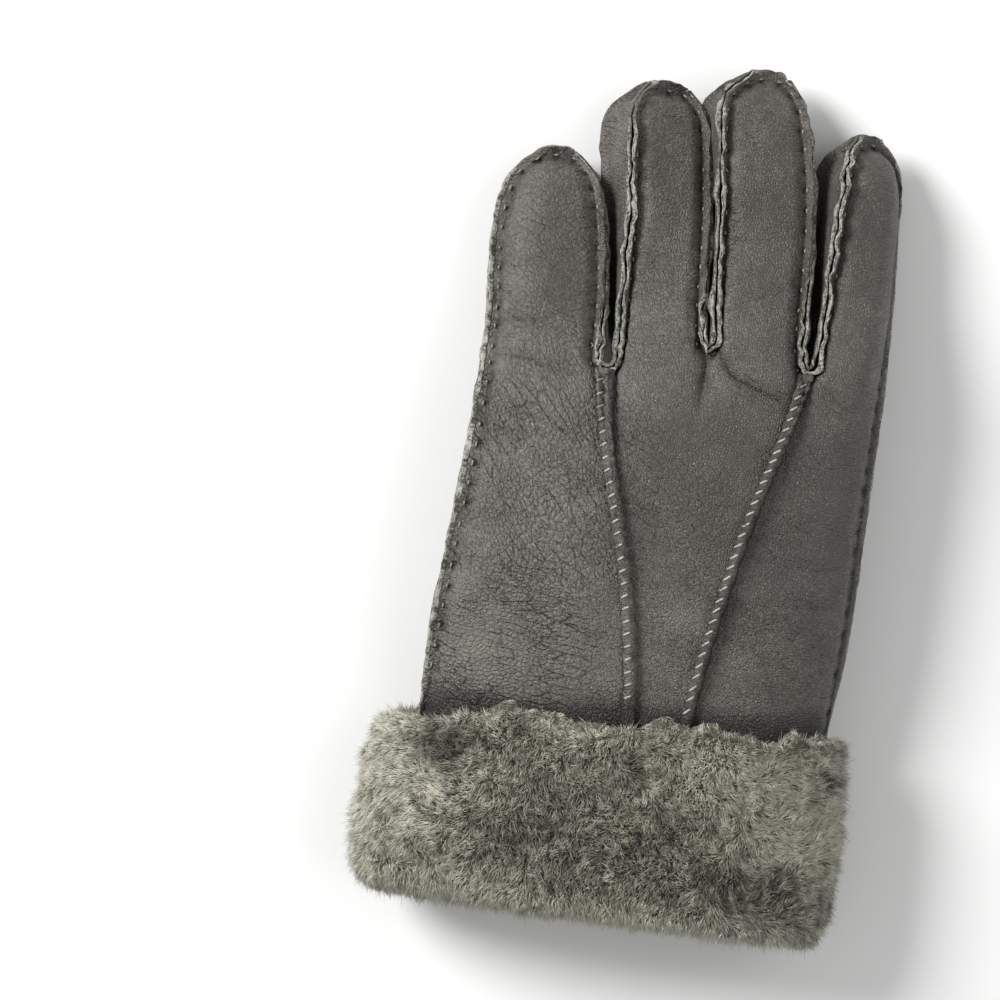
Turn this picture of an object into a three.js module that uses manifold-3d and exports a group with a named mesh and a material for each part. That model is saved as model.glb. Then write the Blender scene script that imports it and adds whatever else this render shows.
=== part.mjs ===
// A left-hand shearling glove lying on its palm, with its thumb folded under and its cuff turned back.
// Millimetres. +Z is up, towards the back of the hand. +Y points to the fingertips and +X to the thumb's side.

import * as THREE from "three";
import { mergeVertices } from "three/addons/utils/BufferGeometryUtils.js";
import Module from "manifold-3d";

const wasm = await Module();
wasm.setup();

// The pattern below was measured about another point. This moves it so that the glove stands centred on its origin.
const PATTERN_TO_ORIGIN = [-1, -3.5, 0];

const WALL = 4.5; // leather with its clipped wool
const LIP_HEIGHT = 3.2; // how far a raw seam edge stands out
const LOW_LIP_HEIGHT = 2.5; // the same on the side where a finger touches the next one
const LIP_THICKNESS = 1.2; // one layer of bare leather at a seam
const PRESSED_LIP = 1.0; // the same edge where the cuff presses on it
const SEAM_GAP = 0.3; // room left between two sewn pieces
const MITRE = 0.7; // how far a fourchette's seam leans in for each millimetre of depth
const LEAST_LEVEL = 0.6; // half height that a side wall's inner face keeps where it runs out
const FLOOR = 0.25; // lowest point of the soft pieces that lie on the surface
const WRIST_Y = -116; // hidden end of the leather, inside the cuff
const BLEND_LENGTH = 28; // how far the valleys between the fingers run down into the hand
const STRIP = 2; // half width of the web between two fingers
const MOST_INSET = 0.6; // share of a fingertip's half width that its walls may take
const TIE_BREAK = 0.3; // orders the points of a seam by y, and where that is equal by x
const OUTER_DROP = -3.5; // how far below its middle the index finger's outer seam runs
const WALL_BULGE = 0.4; // how far a side wall swells out
const THIN_END = 0.55; // share of a side wall's half height that its raw edge may take
const COVERED_Y = -64; // below this the cuff lies on the leather
const HOLE_BOTTOM = 8; // the cut that makes the thumb hole
const HOLE_DEPTH = 24;
const RIDGE_LIFT = 0.45; // room under the ridges
const RIDGE_TOP_LIFT = 0.8; // more of it where they run into the valley between two fingers
const RIDGE_TOP_ROWS = 2; // how many of the hand's rows that valley takes
const RIDGE_EDGE = 0.5; // how thick the ridges' sides are
const RIDGE_END = 0.5; // share of its height that a ridge keeps at its ends
const CROTCH_DIP = 2; // how far the bottom of the web dips below the fingers' own first row

// The hand from the wrist to the knuckles: the x of each line that runs up it, the height of its middle,
// its half thickness, and the level of its two side seams above the middle.
const HAND = [
  { y: -116, side: -58, pointRing: 8, centre: 14.5, pointIndex: 22, edge: 67, middle: 25, half: 16, sideSeam: 0, edgeSeam: 0 },
  { y: -88, side: -58, pointRing: 7, centre: 14.5, pointIndex: 22.5, edge: 67, middle: 25, half: 16, sideSeam: 0, edgeSeam: 0 },
  { y: -66, side: -57.5, pointRing: 5.5, centre: 14.5, pointIndex: 23.2, edge: 67.5, middle: 26, half: 15.5, sideSeam: 2.5, edgeSeam: -2 },
  { y: -45, side: -56, pointRing: 2.8, centre: 14.5, pointIndex: 25.8, edge: 68.5, middle: 29, half: 14, sideSeam: 3, edgeSeam: -4 },
  { y: -25, side: -55, pointRing: -1.2, centre: 14.5, pointIndex: 29.3, edge: 69.3, middle: 32, half: 13.5, sideSeam: 2, edgeSeam: -5 },
  { y: -5, side: -53.5, pointRing: -6.8, centre: 14.5, pointIndex: 33, edge: 69, middle: 33, half: 13.5, sideSeam: 1.5, edgeSeam: -5 },
  { y: 15, side: -52.3, pointRing: -12.7, centre: 14.5, pointIndex: 38.3, edge: 69, middle: 33, half: 13.5, sideSeam: 1, edgeSeam: -4.5 },
  { y: 32, side: -52, pointRing: -16, centre: 14.5, pointIndex: 42.8, edge: 69.2, middle: 31.5, half: 13.2, sideSeam: 0.5, edgeSeam: -4 },
  { y: 50, side: -52, pointRing: -16.5, centre: 14.2, pointIndex: 45.6, edge: 69.3, middle: 28, half: 12.5, sideSeam: 0, edgeSeam: -3.5 },
];

// The lines up the hand, in order, and the y at which the fingers beside each of them begin.
const LINES = ["side", "pointRing", "centre", "pointIndex", "edge"];
const FINGER_STARTS = [39, 40.5, 51, 48.5, 47];

// Each finger's two seams on the back of the hand, as x at y. The last row is the fingertip.
const FINGERS = {
  little: {
    outlines: [
      { y: 39, left: -52, right: -19.6 },
      { y: 50, left: -52, right: -20 },
      { y: 60, left: -52.8, right: -20.6 },
      { y: 70, left: -54, right: -22 },
      { y: 80, left: -54.4, right: -23.4 },
      { y: 90, left: -53.6, right: -25.4 },
      { y: 97, left: -51, right: -28 },
      { y: 101, left: -47, right: -31 },
      { y: 103.3, left: -43, right: -35 },
    ],
    roll: [0, 4, 7, 9, 10],
  },
  ring: {
    outlines: [
      { y: 39, left: -13.2, right: 12.4 },
      { y: 51, left: -13.2, right: 12 },
      { y: 60, left: -13.8, right: 10.8 },
      { y: 75, left: -14.5, right: 9.4 },
      { y: 90, left: -15.3, right: 8 },
      { y: 105, left: -17, right: 6 },
      { y: 117, left: -18.3, right: 4.2 },
      { y: 124, left: -17.6, right: 2 },
      { y: 128, left: -12.5, right: -3.5 },
    ],
    roll: [0, 9, 17, 26, 31],
  },
  middle: {
    outlines: [
      { y: 48, left: 16.2, right: 43.2 },
      { y: 60, left: 14.9, right: 42 },
      { y: 75, left: 13.8, right: 41.3 },
      { y: 90, left: 12.7, right: 40.5 },
      { y: 105, left: 11, right: 38.8 },
      { y: 118, left: 9.2, right: 35.8 },
      { y: 127, left: 9, right: 33.6 },
      { y: 132.5, left: 11.5, right: 31 },
      { y: 135.7, left: 18, right: 27 },
    ],
    roll: [0, 4, 8, 14, 20],
  },
  index: {
    outlines: [
      { y: 47, left: 48, right: 69.3 },
      { y: 58, left: 48.5, right: 69.4 },
      { y: 70, left: 48.6, right: 69.6 },
      { y: 82, left: 48.9, right: 69.6 },
      { y: 95, left: 49.3, right: 69 },
      { y: 105, left: 49.5, right: 67.3 },
      { y: 112, left: 49.9, right: 65 },
      { y: 117, left: 51, right: 62 },
      { y: 120, left: 54, right: 58.5 },
    ],
    roll: [0, 8, 16, 23, 26],
  },
};
const FINGER_NAMES = Object.keys(FINGERS);

// How a finger's section changes from its base to its tip: the height of its centre, its half thickness and half
// the width of its side walls. Then the way that its raw seam edges stand, in degrees round from +X: on the back
// at the right and left seam, and on the palm at the right and left seam.
const FINGER_SECTIONS = [
  { t: 0, centre: 28, half: 12, wall: 7.5, backRight: 80, backLeft: 92, palmRight: -85, palmLeft: -95 },
  { t: 0.12, centre: 25.5, half: 11.8, wall: 7.7, backRight: 70, backLeft: 92, palmRight: -75, palmLeft: -105 },
  { t: 0.3, centre: 20.5, half: 11.5, wall: 8, backRight: 45, backLeft: 93, palmRight: -50, palmLeft: -125 },
  { t: 0.5, centre: 16.5, half: 11.3, wall: 8, backRight: 32, backLeft: 95, palmRight: -20, palmLeft: -145 },
  { t: 0.7, centre: 14.5, half: 11.2, wall: 8, backRight: 28, backLeft: 97, palmRight: -5, palmLeft: -155 },
  { t: 0.84, centre: 13.6, half: 10.4, wall: 7.4, backRight: 28, backLeft: 100, palmRight: 0, palmLeft: -160 },
  { t: 0.93, centre: 13.2, half: 8.2, wall: 5.6, backRight: 28, backLeft: 115, palmRight: 0, palmLeft: -170 },
  { t: 1, centre: 12.8, half: 1.2, wall: 0.9, backRight: 25, backLeft: 145, palmRight: 5, palmLeft: -175 },
];
const OUTER_LIP = { right: 10, left: 170 }; // the same for the seams on the outer sides of the hand
const TIP_LIP = new THREE.Vector3(0, 1, 0.15); // and round a fingertip

// Where the panels are cut into facets: across a finger, up the hand, and across a side wall.
const ACROSS = [-1, -0.82, -0.45, 0, 0.45, 0.82, 1];
const HAND_ROWS = [0, 0.16, 0.3, 0.42, 0.54, 0.66, 0.76, 0.82, 0.88, 0.94, 1];
const WALL_STEPS = [-0.4, 0.4];

// The thumb under the palm. Each row is a section: where its front edge is, along the thumb and in height, its half
// width and half thickness, how far it has turned from standing in the thumb hole (0) to lying flat (90), and how
// far its seam edges stand out. The last row is the tip.
const THUMB = [
  { along: 15, top: 24.3, width: 21, half: 15, turn: 0, lip: 0 },
  { along: 15, top: 18.9, width: 21, half: 15, turn: 0, lip: 0 },
  { along: 15.3, top: 18.1, width: 21.5, half: 14, turn: 20, lip: 0 },
  { along: 15.9, top: 17.7, width: 22, half: 11.6, turn: 45, lip: 1.5 },
  { along: 17, top: 17.5, width: 22, half: 9.5, turn: 70, lip: 2.5 },
  { along: 21, top: 17.7, width: 22, half: 8.7, turn: 90, lip: 3 },
  { along: 31, top: 18, width: 21.8, half: 8.85, turn: 90, lip: 3 },
  { along: 43, top: 17.6, width: 20.5, half: 8.65, turn: 90, lip: 3 },
  { along: 54, top: 16.4, width: 18.3, half: 8, turn: 90, lip: 3 },
  { along: 62.5, top: 13.8, width: 14.3, half: 6.2, turn: 90, lip: 3 },
  { along: 67.5, top: 7.6, width: 7, half: 0, turn: 90, lip: 3 },
];
const THUMB_HOLE = new THREE.Vector3(43, -12, 0);
const THUMB_AXIS = new THREE.Vector3(-0.45, 0.893, 0).normalize();
const THUMB_WALL = 3.8; // the thumb's leather with its wool
const THUMB_BACKSET = [0.25, 0.6, 1]; // how much of its wall the last rows' inner face stays back by
const THUMB_ACROSS = [-1, -0.85, -0.5, 0, 0.5, 0.85, 1];
const THUMB_DROOP = 0.35; // how much a thumb's seam edge hangs
const HOLE_CLEARANCE = 0.4; // room between the thumb's foot and its hole

// The ridges that run from the web beside the ring finger, and beside the index finger, down to the cuff.
const POINTS = {
  point_ring: { line: 1, width: 1.95, height: 2.1, top: 0.95 },
  point_index: { line: 3, width: 1.6, height: 2.1, top: 0.95 },
};
const POINT_START = 2; // first of the hand's rows that a ridge reaches down to
const POINT_PROFILE = [
  { across: -1, up: 0 },
  { across: -0.75, up: 0.65 },
  { across: 0, up: 1 },
  { across: 0.75, up: 0.65 },
  { across: 1, up: 0 },
];

// The turned-back cuff, as stations round its section. The first ones run over the wool from the top edge to the
// mouth. The others follow the leather that the cuff takes in, at a distance that counts inwards.
const WOOL_STATIONS = [
  { y: -65.5, width: 67.5, height: 20.4, x: 3.5, z: 24.8, edge: 1 },
  { y: -68.5, width: 72, height: 22.8, x: 1.5, z: 23.4, edge: 0.95 },
  { y: -74, width: 73.6, height: 24, x: 1, z: 22.9, edge: 0.8 },
  { y: -80, width: 74.2, height: 24.4, x: 1, z: 22.7, edge: 0.55 },
  { y: -86, width: 74.7, height: 24.6, x: 1, z: 22.6, edge: 0.3 },
  { y: -92.5, width: 75.2, height: 24.7, x: 1, z: 22.6, edge: 0.1 },
  { y: -99, width: 75.5, height: 24.7, x: 1, z: 22.6, edge: 0 },
  { y: -105.5, width: 75.6, height: 24.6, x: 1, z: 22.6, edge: 0 },
  { y: -112, width: 75.5, height: 24.4, x: 1, z: 22.6, edge: 0 },
  { y: -118.5, width: 75.1, height: 24, x: 1, z: 22.7, edge: 0 },
  { y: -124.5, width: 74.2, height: 23, x: 1, z: 23, edge: 0 },
  { y: -129, width: 71.5, height: 20.5, x: 1.2, z: 23.6, edge: 0 },
  { y: -131, width: 66, height: 15.5, x: 2, z: 24.3, edge: 0 },
  { y: -129, width: 58.5, height: 10, x: 3.4, z: 24.8, edge: 0 },
];
const LEATHER_STATIONS = [
  { y: -120, depth: 8.1, narrower: 2.4, edge: 0 },
  { y: -96, depth: 8.1, narrower: 2.4, edge: 0 },
  { y: -96, depth: 4.9, narrower: 2.4, edge: 0 },
  { y: -117, depth: 4.9, narrower: 2.4, edge: 0 },
  { y: -117, depth: -1.6, narrower: 0, edge: 0 },
  { y: -94, depth: -1.6, narrower: 0, edge: 0 },
  { y: -68, depth: -3, narrower: 0, edge: 1 },
];
// The wool's edge on the hand, by x.
const CUFF_EDGE = [
  { x: -76, y: -77 },
  { x: -61, y: -75.5 },
  { x: -46, y: -74.5 },
  { x: -31, y: -68.5 },
  { x: -11, y: -71 },
  { x: 4, y: -70 },
  { x: 19, y: -67 },
  { x: 39, y: -67 },
  { x: 49, y: -68.5 },
  { x: 69, y: -66 },
];
const CUFF_EDGE_LEVEL = -67; // the edge that the stations are drawn for
const CUFF_SIDES = 52; // facets round the cuff
const ROUND_POWER = 3; // how square the hand's and the cuff's sections are
const FINGER_POWER = 2.5; // the same for a finger's
const LOCK_HEIGHT = 1.9; // how far the tip of a lock of wool stands above its root
const LOCK_SPREAD = 0.35; // share of that height that differs from lock to lock
const LOCK_LEAN = 1.6; // how far a tip leans over, up or down the cuff
const LOCK_SIDEWAYS = 0.5; // share of that which it leans sideways
const ROOT_LEAN = 0.4; // and share that its root moves by
const LOCK_CLEARANCE = 3.5; // height above the surface from which the locks stand up
const SCATTER = { first: 12.9898, second: 78.233, scale: 43758.5453 }; // makes neighbours' values differ

const LEATHER = { color: 0x625e58, roughness: 0.62, metalness: 0 };
const THUMB_LEATHER = { color: 0x5e5a55, roughness: 0.62, metalness: 0 };
const SIDE_LEATHER = { color: 0x59554f, roughness: 0.66, metalness: 0 };
const RIDGE_LEATHER = { color: 0x6b6761, roughness: 0.64, metalness: 0 };
const WOOL = { color: 0x9b9a88, roughness: 0.96, metalness: 0 };

const lerp = THREE.MathUtils.lerp;
const clamp = THREE.MathUtils.clamp;
const smoothstep = THREE.MathUtils.smoothstep;
const radians = THREE.MathUtils.degToRad;
const vector = (x, y, z) => new THREE.Vector3(x, y, z);
const HALF_GAP = SEAM_GAP / 2;
const UP = vector(0, 0, 1);

// The value of a table's column at a key between its rows, on a smooth curve through them.
function read(table, column, at, key = "y") {
  const last = table.length - 1;
  const where = clamp(at, table[0][key], table[last][key]);
  let i = 0;
  while (i < last - 1 && table[i + 1][key] < where) i++;
  const slope = (a, b) => (table[b][column] - table[a][column]) / (table[b][key] - table[a][key]);
  const span = table[i + 1][key] - table[i][key];
  const share = (where - table[i][key]) / span;
  const before = slope(Math.max(i - 1, 0), i + 1) * span;
  const after = slope(i, Math.min(i + 2, last)) * span;
  const square = share * share;
  const cube = square * share;
  return (
    (2 * cube - 3 * square + 1) * table[i][column] +
    (cube - 2 * square + share) * before +
    (3 * square - 2 * cube) * table[i + 1][column] +
    (cube - square) * after
  );
}

// How high a rounded section is at a share s of its half width.
function arch(s, power) {
  return Math.sqrt(Math.max(1 - Math.pow(Math.abs(s), power), 0));
}

function direction(degrees) {
  return vector(Math.cos(radians(degrees)), 0, Math.sin(radians(degrees)));
}

// The outer sides of the hand have one seam, where the back meets the palm. Elsewhere a side wall stands between.
function isOuter(finger, side) {
  return (finger === 0 && side === 0) || (finger === FINGER_NAMES.length - 1 && side === 1);
}

// A finger's section at a share t of its length: its y at each side, its roll, the middle of its centre line, its half
// sizes, and half the height of its side walls.
function fingerSection(finger, t) {
  const { outlines, roll } = FINGERS[FINGER_NAMES[finger]];
  const tip = outlines[outlines.length - 1].y;
  const step = t * (roll.length - 1);
  const row = Math.min(Math.floor(step), roll.length - 2);
  const turn = radians(lerp(roll[row], roll[row + 1], step - row));
  const wall = read(FINGER_SECTIONS, "wall", t, "t");
  const y = [0, 1].map((side) => lerp(FINGER_STARTS[finger + side], tip, t));
  const rise = [0, 1].map((side) => (isOuter(finger, side) ? 0 : wall * Math.sin(turn)));
  const left = read(outlines, "left", y[0]) - rise[0];
  const right = read(outlines, "right", y[1]) - rise[1];
  return {
    y,
    turn,
    wall,
    outerLevel: finger === 0 ? 0 : lerp(OUTER_DROP, 0, smoothstep(t, 0.6, 1)),
    x: (left + right) / 2,
    z: read(FINGER_SECTIONS, "centre", t, "t"),
    width: (right - left) / (2 * Math.cos(turn)),
    half: read(FINGER_SECTIONS, "half", t, "t"),
  };
}

// The level of a finger's seam at one side, and how far in from its outline it lies, at a depth in the wall.
function seamLevel(section, finger, side, face, depth) {
  return isOuter(finger, side) ? section.outerLevel : face * Math.max(section.wall - depth, LEAST_LEVEL);
}
function seamInset(section, finger, side, depth) {
  return Math.min(isOuter(finger, side) ? depth : depth * MITRE, section.width * MOST_INSET);
}

function placeInFinger(section, across, up, share, t, depth) {
  return vector(
    section.x + across * Math.cos(section.turn) + up * Math.sin(section.turn),
    lerp(section.y[0], section.y[1], share) - depth * t,
    section.z - across * Math.sin(section.turn) + up * Math.cos(section.turn),
  );
}

// A point across a finger: s runs from its left seam (-1) to its right one (1), on its back (face 1) or palm (-1).
function fingerPoint(finger, t, s, face, depth) {
  const section = fingerSection(finger, t);
  const share = (s + 1) / 2;
  const insets = [0, 1].map((side) => seamInset(section, finger, side, depth));
  const across = lerp(-section.width + insets[0], section.width - insets[1], share);
  const ends = Math.abs(s) === 1;
  if (t === 1 && !ends) return placeInFinger(section, across, 0, share, t, depth);
  const level = lerp(
    seamLevel(section, finger, 0, face, depth),
    seamLevel(section, finger, 1, face, depth),
    share,
  );
  const crown = face * Math.max(section.half - depth, LEAST_LEVEL * 2);
  return placeInFinger(section, across, level + (crown - level) * arch(s, FINGER_POWER), share, t, depth);
}

// A point up a finger's side wall: w runs from the palm's seam (-1) to the back's (1).
function wallPoint(finger, side, t, w, depth) {
  const section = fingerSection(finger, t);
  const bulge = (1 - w * w) * WALL_BULGE * Math.min(section.wall / FINGER_SECTIONS[0].wall, 1);
  const across = (side === 0 ? -1 : 1) * (section.width - seamInset(section, finger, side, depth) + bulge);
  const up = w * Math.max(section.wall - depth, LEAST_LEVEL);
  return placeInFinger(section, across, up, side, t, depth);
}

// The hand's own rounded surface.
function handSurface(x, y, face, depth) {
  const left = read(HAND, "side", y);
  const right = read(HAND, "edge", y);
  const centre = (left + right) / 2;
  const width = (right - left) / 2;
  return handSection(clamp((x - centre) / width, -1, 1), y, face, depth);
}
function handSection(s, y, face, depth, narrower = 0) {
  const left = read(HAND, "side", y);
  const right = read(HAND, "edge", y);
  const level = lerp(read(HAND, "sideSeam", y), read(HAND, "edgeSeam", y), (s + 1) / 2);
  const crown = face * (read(HAND, "half", y) - depth);
  return vector(
    (left + right) / 2 + s * ((right - left) / 2 - depth - narrower),
    y,
    read(HAND, "middle", y) + level + (crown - level) * arch(s, ROUND_POWER),
  );
}

// A point of the hand in one finger's column, at a share r of the way up. It turns into that finger's base.
function handPoint(column, s, r, face, depth) {
  const share = (s + 1) / 2;
  const y = [0, 1].map((step) => lerp(WRIST_Y, FINGER_STARTS[column + step], r));
  const web = [0, 1].map((step) => (isOuter(column, step) ? 0 : STRIP));
  const left = read(HAND, LINES[column], y[0]) + web[0];
  const right = read(HAND, LINES[column + 1], y[1]) - web[1];
  const here = lerp(y[0], y[1], share);
  const start = lerp(FINGER_STARTS[column], FINGER_STARTS[column + 1], share);
  const flat = handSurface(lerp(left, right, share), here, face, depth);
  return flat.lerp(fingerPoint(column, 0, s, face, depth), smoothstep(here - start, -BLEND_LENGTH, 0));
}

// The middle of the web on a line between two fingers. At the top it dips to the bottom of the fork.
function webPoint(line, r, face, depth) {
  const start = FINGER_STARTS[line];
  const y = lerp(WRIST_Y, start, r);
  const flat = handSurface(read(HAND, LINES[line], y), y, face, depth);
  const left = fingerPoint(line - 1, 0, 1, face, depth);
  const low = left.lerp(fingerPoint(line, 0, -1, face, depth), 0.5);
  const blended = flat.lerp(low, smoothstep(y - start, -BLEND_LENGTH, 0));
  blended.y = r === 1 ? start - CROTCH_DIP - depth * MITRE : y;
  return blended;
}

// A sheet has an outer and an inner point at each of its vertices, and at its edge the rim between them.
class Sheet {
  constructor() {
    this.chains = [];
    this.faces = [];
  }
  add(outer, inner, rim = []) {
    this.chains.push([outer, ...rim, inner].map((p) => vector(p.x, p.y, Math.max(p.z, FLOOR))));
    return this.chains.length - 1;
  }
  strip(from, to) {
    for (let i = 0; i + 1 < from.length; i++) {
      this.faces.push([from[i], from[i + 1], to[i + 1]], [from[i], to[i + 1], to[i]]);
    }
  }
  geometry() {
    const starts = [];
    const points = [];
    for (const chain of this.chains) {
      starts.push(points.length);
      points.push(...chain);
    }
    const inner = (id) => starts[id] + this.chains[id].length - 1;
    const edges = new Set(this.faces.flatMap(([a, b, c]) => [`${a} ${b}`, `${b} ${c}`, `${c} ${a}`]));
    const triangles = [];
    for (const [a, b, c] of this.faces) {
      triangles.push([starts[a], starts[b], starts[c]], [inner(c), inner(b), inner(a)]);
      for (const [from, to] of [[a, b], [b, c], [c, a]]) {
        if (!edges.has(`${to} ${from}`)) this.rimBetween(triangles, starts, from, to);
      }
    }
    return solid(points, triangles);
  }
  // Both pieces of a seam split its facets the same way, whichever way round they run.
  rimBetween(triangles, starts, from, to) {
    const ends = [this.chains[from].length - 1, this.chains[to].length - 1];
    const order = (id) => this.chains[id][0].y + TIE_BREAK * this.chains[id][0].x;
    const lead = order(from) < order(to) ? 1 : -1;
    let i = 0;
    let j = 0;
    while (i < ends[0] || j < ends[1]) {
      const here = starts[from] + i;
      const there = starts[to] + j;
      const ahead = (i + 1) * ends[1] - (j + 1) * ends[0];
      if (j === ends[1] || (i < ends[0] && (ahead < 0 || (ahead === 0 && lead > 0)))) {
        triangles.push([there, here, here + 1]);
        i++;
      } else {
        triangles.push([there, here, there + 1]);
        j++;
      }
    }
  }
}

function solid(points, triangles) {
  const signed = triangles.map(([a, b, c]) => points[a].dot(points[b].clone().cross(points[c])));
  const outward = signed.reduce((sum, part) => sum + part, 0) > 0;
  const geometry = new THREE.BufferGeometry();
  geometry.setAttribute("position", new THREE.Float32BufferAttribute(points.flatMap((p) => p.toArray()), 3));
  geometry.setIndex(triangles.flatMap(([a, b, c]) => (outward ? [a, b, c] : [a, c, b])));
  geometry.computeVertexNormals();
  return geometry;
}

// The points of a seam, in order. Each has its place outside and inside the wall, and the way its raw edge stands.
// Worked out from its neighbours is the way across the seam.
function crossed(path) {
  path.forEach((node, i) => {
    const before = path[Math.max(i - 1, 0)].seam;
    const after = path[Math.min(i + 1, path.length - 1)].seam;
    node.across = after.clone().sub(before).cross(node.lip).normalize();
  });
  return path;
}

// What a piece has at a seam point: side is 1 for the piece that the way across points into, or -1.
function sewn(sheet, node, side) {
  const away = node.across.clone().multiplyScalar(side);
  const foot = node.seam.clone().addScaledVector(away, HALF_GAP);
  const inner = node.deep.clone().addScaledVector(away, HALF_GAP);
  if (node.height === 0) return sheet.add(foot, inner);
  const outer = foot.clone().addScaledVector(away, node.thick);
  const top = outer.clone().addScaledVector(node.lip, node.height);
  const tip = foot.clone().addScaledVector(node.lip, node.height);
  return sheet.add(outer, inner, [top, tip, foot]);
}

const TIPS = FINGER_SECTIONS.length - 1;
const HAND_TOP = HAND_ROWS.length - 1;

function lipHeight(y) {
  return y < COVERED_Y ? PRESSED_LIP : LIP_HEIGHT;
}

// The seam points along a finger's side.
function fingerNode(face, finger, row, side) {
  const t = FINGER_SECTIONS[row].t;
  const s = side === 0 ? -1 : 1;
  const table = FINGER_SECTIONS[row];
  const columns = face > 0 ? ["backLeft", "backRight"] : ["palmLeft", "palmRight"];
  const outer = isOuter(finger, side);
  const degrees = outer ? (side === 0 ? OUTER_LIP.left : OUTER_LIP.right) : table[columns[side]];
  const lip = direction(degrees);
  if (row === TIPS) lip.add(TIP_LIP).normalize();
  return {
    key: `${outer ? "outer" : face} finger ${finger} ${side} ${row}`,
    seam: fingerPoint(finger, t, s, face, 0),
    deep: fingerPoint(finger, t, s, face, WALL),
    lip,
    height: side === 1 && !outer ? LOW_LIP_HEIGHT : LIP_HEIGHT,
    thick: outer ? LIP_THICKNESS : Math.min(LIP_THICKNESS, table.wall * THIN_END),
  };
}
function tipNode(face, finger, s) {
  return {
    key: `outer tip ${finger} ${s}`,
    seam: fingerPoint(finger, 1, s, face, 0),
    deep: fingerPoint(finger, 1, s, face, WALL),
    lip: TIP_LIP.clone().normalize(),
    height: LIP_HEIGHT,
    thick: LIP_THICKNESS,
  };
}
function webNode(face, line) {
  return {
    key: `${face} web ${line}`,
    seam: webPoint(line, 1, face, 0),
    deep: webPoint(line, 1, face, WALL),
    lip: UP.clone().multiplyScalar(face),
    height: LIP_HEIGHT,
    thick: LIP_THICKNESS,
  };
}
function handNode(face, side, row) {
  const r = HAND_ROWS[row];
  const column = side === 0 ? 0 : FINGER_NAMES.length - 1;
  const s = side === 0 ? -1 : 1;
  const seam = handPoint(column, s, r, face, 0);
  return {
    key: `outer hand ${side} ${row}`,
    seam,
    deep: handPoint(column, s, r, face, WALL),
    lip: direction(side === 0 ? OUTER_LIP.left : OUTER_LIP.right),
    height: lipHeight(seam.y),
    thick: LIP_THICKNESS,
  };
}

// The whole seam of the back or the palm, from the wrist up the little finger's side and round every finger.
function panelSeam(face) {
  const path = [];
  for (let row = 0; row < HAND_TOP; row++) path.push(handNode(face, 0, row));
  FINGER_NAMES.forEach((_, finger) => {
    for (let row = 0; row <= TIPS; row++) path.push(fingerNode(face, finger, row, 0));
    for (const s of ACROSS.slice(1, -1)) path.push(tipNode(face, finger, s));
    for (let row = TIPS; row >= 0; row--) path.push(fingerNode(face, finger, row, 1));
    if (finger < FINGER_NAMES.length - 1) path.push(webNode(face, finger + 1));
  });
  for (let row = HAND_TOP - 1; row >= 0; row--) path.push(handNode(face, 1, row));
  return new Map(crossed(path).map((node) => [node.key, node]));
}

const BACK_SEAM = panelSeam(1);
const PALM_SEAM = panelSeam(-1);
for (const [key, node] of BACK_SEAM) {
  if (key.startsWith("outer")) PALM_SEAM.set(key, node);
}

function panel(face) {
  const sheet = new Sheet();
  const seam = face > 0 ? BACK_SEAM : PALM_SEAM;
  const sewnAt = (key) => sewn(sheet, seam.get(key), face);
  const plain = (point) => sheet.add(point(0), point(WALL));
  const fingerKey = (finger, side, row) => `${isOuter(finger, side) ? "outer" : face} finger ${finger} ${side} ${row}`;
  const fingerRow = (finger, row) => {
    const t = FINGER_SECTIONS[row].t;
    return ACROSS.map((s) => {
      if (s === -1) return sewnAt(fingerKey(finger, 0, row));
      if (s === 1) return sewnAt(fingerKey(finger, 1, row));
      if (row === TIPS) return sewnAt(`outer tip ${finger} ${s}`);
      return plain((depth) => fingerPoint(finger, t, s, face, depth));
    });
  };
  const handRow = (row) => {
    const ids = [];
    FINGER_NAMES.forEach((_, column) => {
      for (const s of ACROSS) {
        const side = s < 0 ? 0 : 1;
        if (Math.abs(s) === 1 && isOuter(column, side)) ids.push(sewnAt(`outer hand ${side} ${row}`));
        else ids.push(plain((depth) => handPoint(column, s, HAND_ROWS[row], face, depth)));
      }
      if (column < FINGER_NAMES.length - 1) {
        ids.push(plain((depth) => webPoint(column + 1, HAND_ROWS[row], face, depth)));
      }
    });
    return ids;
  };
  const bases = FINGER_NAMES.map((_, finger) => fingerRow(finger, 0));
  const webs = [1, 2, 3].map((line) => sewnAt(`${face} web ${line}`));
  const knuckles = bases.flatMap((base, finger) => (finger < webs.length ? [...base, webs[finger]] : base));
  let below = handRow(0);
  for (let row = 1; row < HAND_TOP; row++) {
    const above = handRow(row);
    sheet.strip(below, above);
    below = above;
  }
  sheet.strip(below, knuckles);
  bases.forEach((base, finger) => {
    let last = base;
    for (let row = 1; row <= TIPS; row++) {
      const next = fingerRow(finger, row);
      sheet.strip(last, next);
      last = next;
    }
  });
  return sheet.geometry();
}

// The forked side wall between two fingers, from one fingertip round the fork to the other.
function fourchette(line) {
  const sheet = new Sheet();
  const ribs = [];
  const rib = (key, point) => {
    const low = sewn(sheet, PALM_SEAM.get(`-1 ${key}`), 1);
    const middle = WALL_STEPS.map((w) => sheet.add(point(w, 0), point(w, WALL)));
    ribs.push([low, ...middle, sewn(sheet, BACK_SEAM.get(`1 ${key}`), -1)]);
  };
  const side = (finger, which, row) => {
    rib(`finger ${finger} ${which} ${row}`, (w, depth) => wallPoint(finger, which, FINGER_SECTIONS[row].t, w, depth));
  };
  for (let row = TIPS; row >= 0; row--) side(line - 1, 1, row);
  rib(`web ${line}`, (w, depth) => webPoint(line, 1, -1, depth).lerp(webPoint(line, 1, 1, depth), (w + 1) / 2));
  for (let row = 0; row <= TIPS; row++) side(line, 0, row);
  for (let i = 0; i + 1 < ribs.length; i++) sheet.strip(ribs[i], ribs[i + 1]);
  return sheet.geometry();
}

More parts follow.
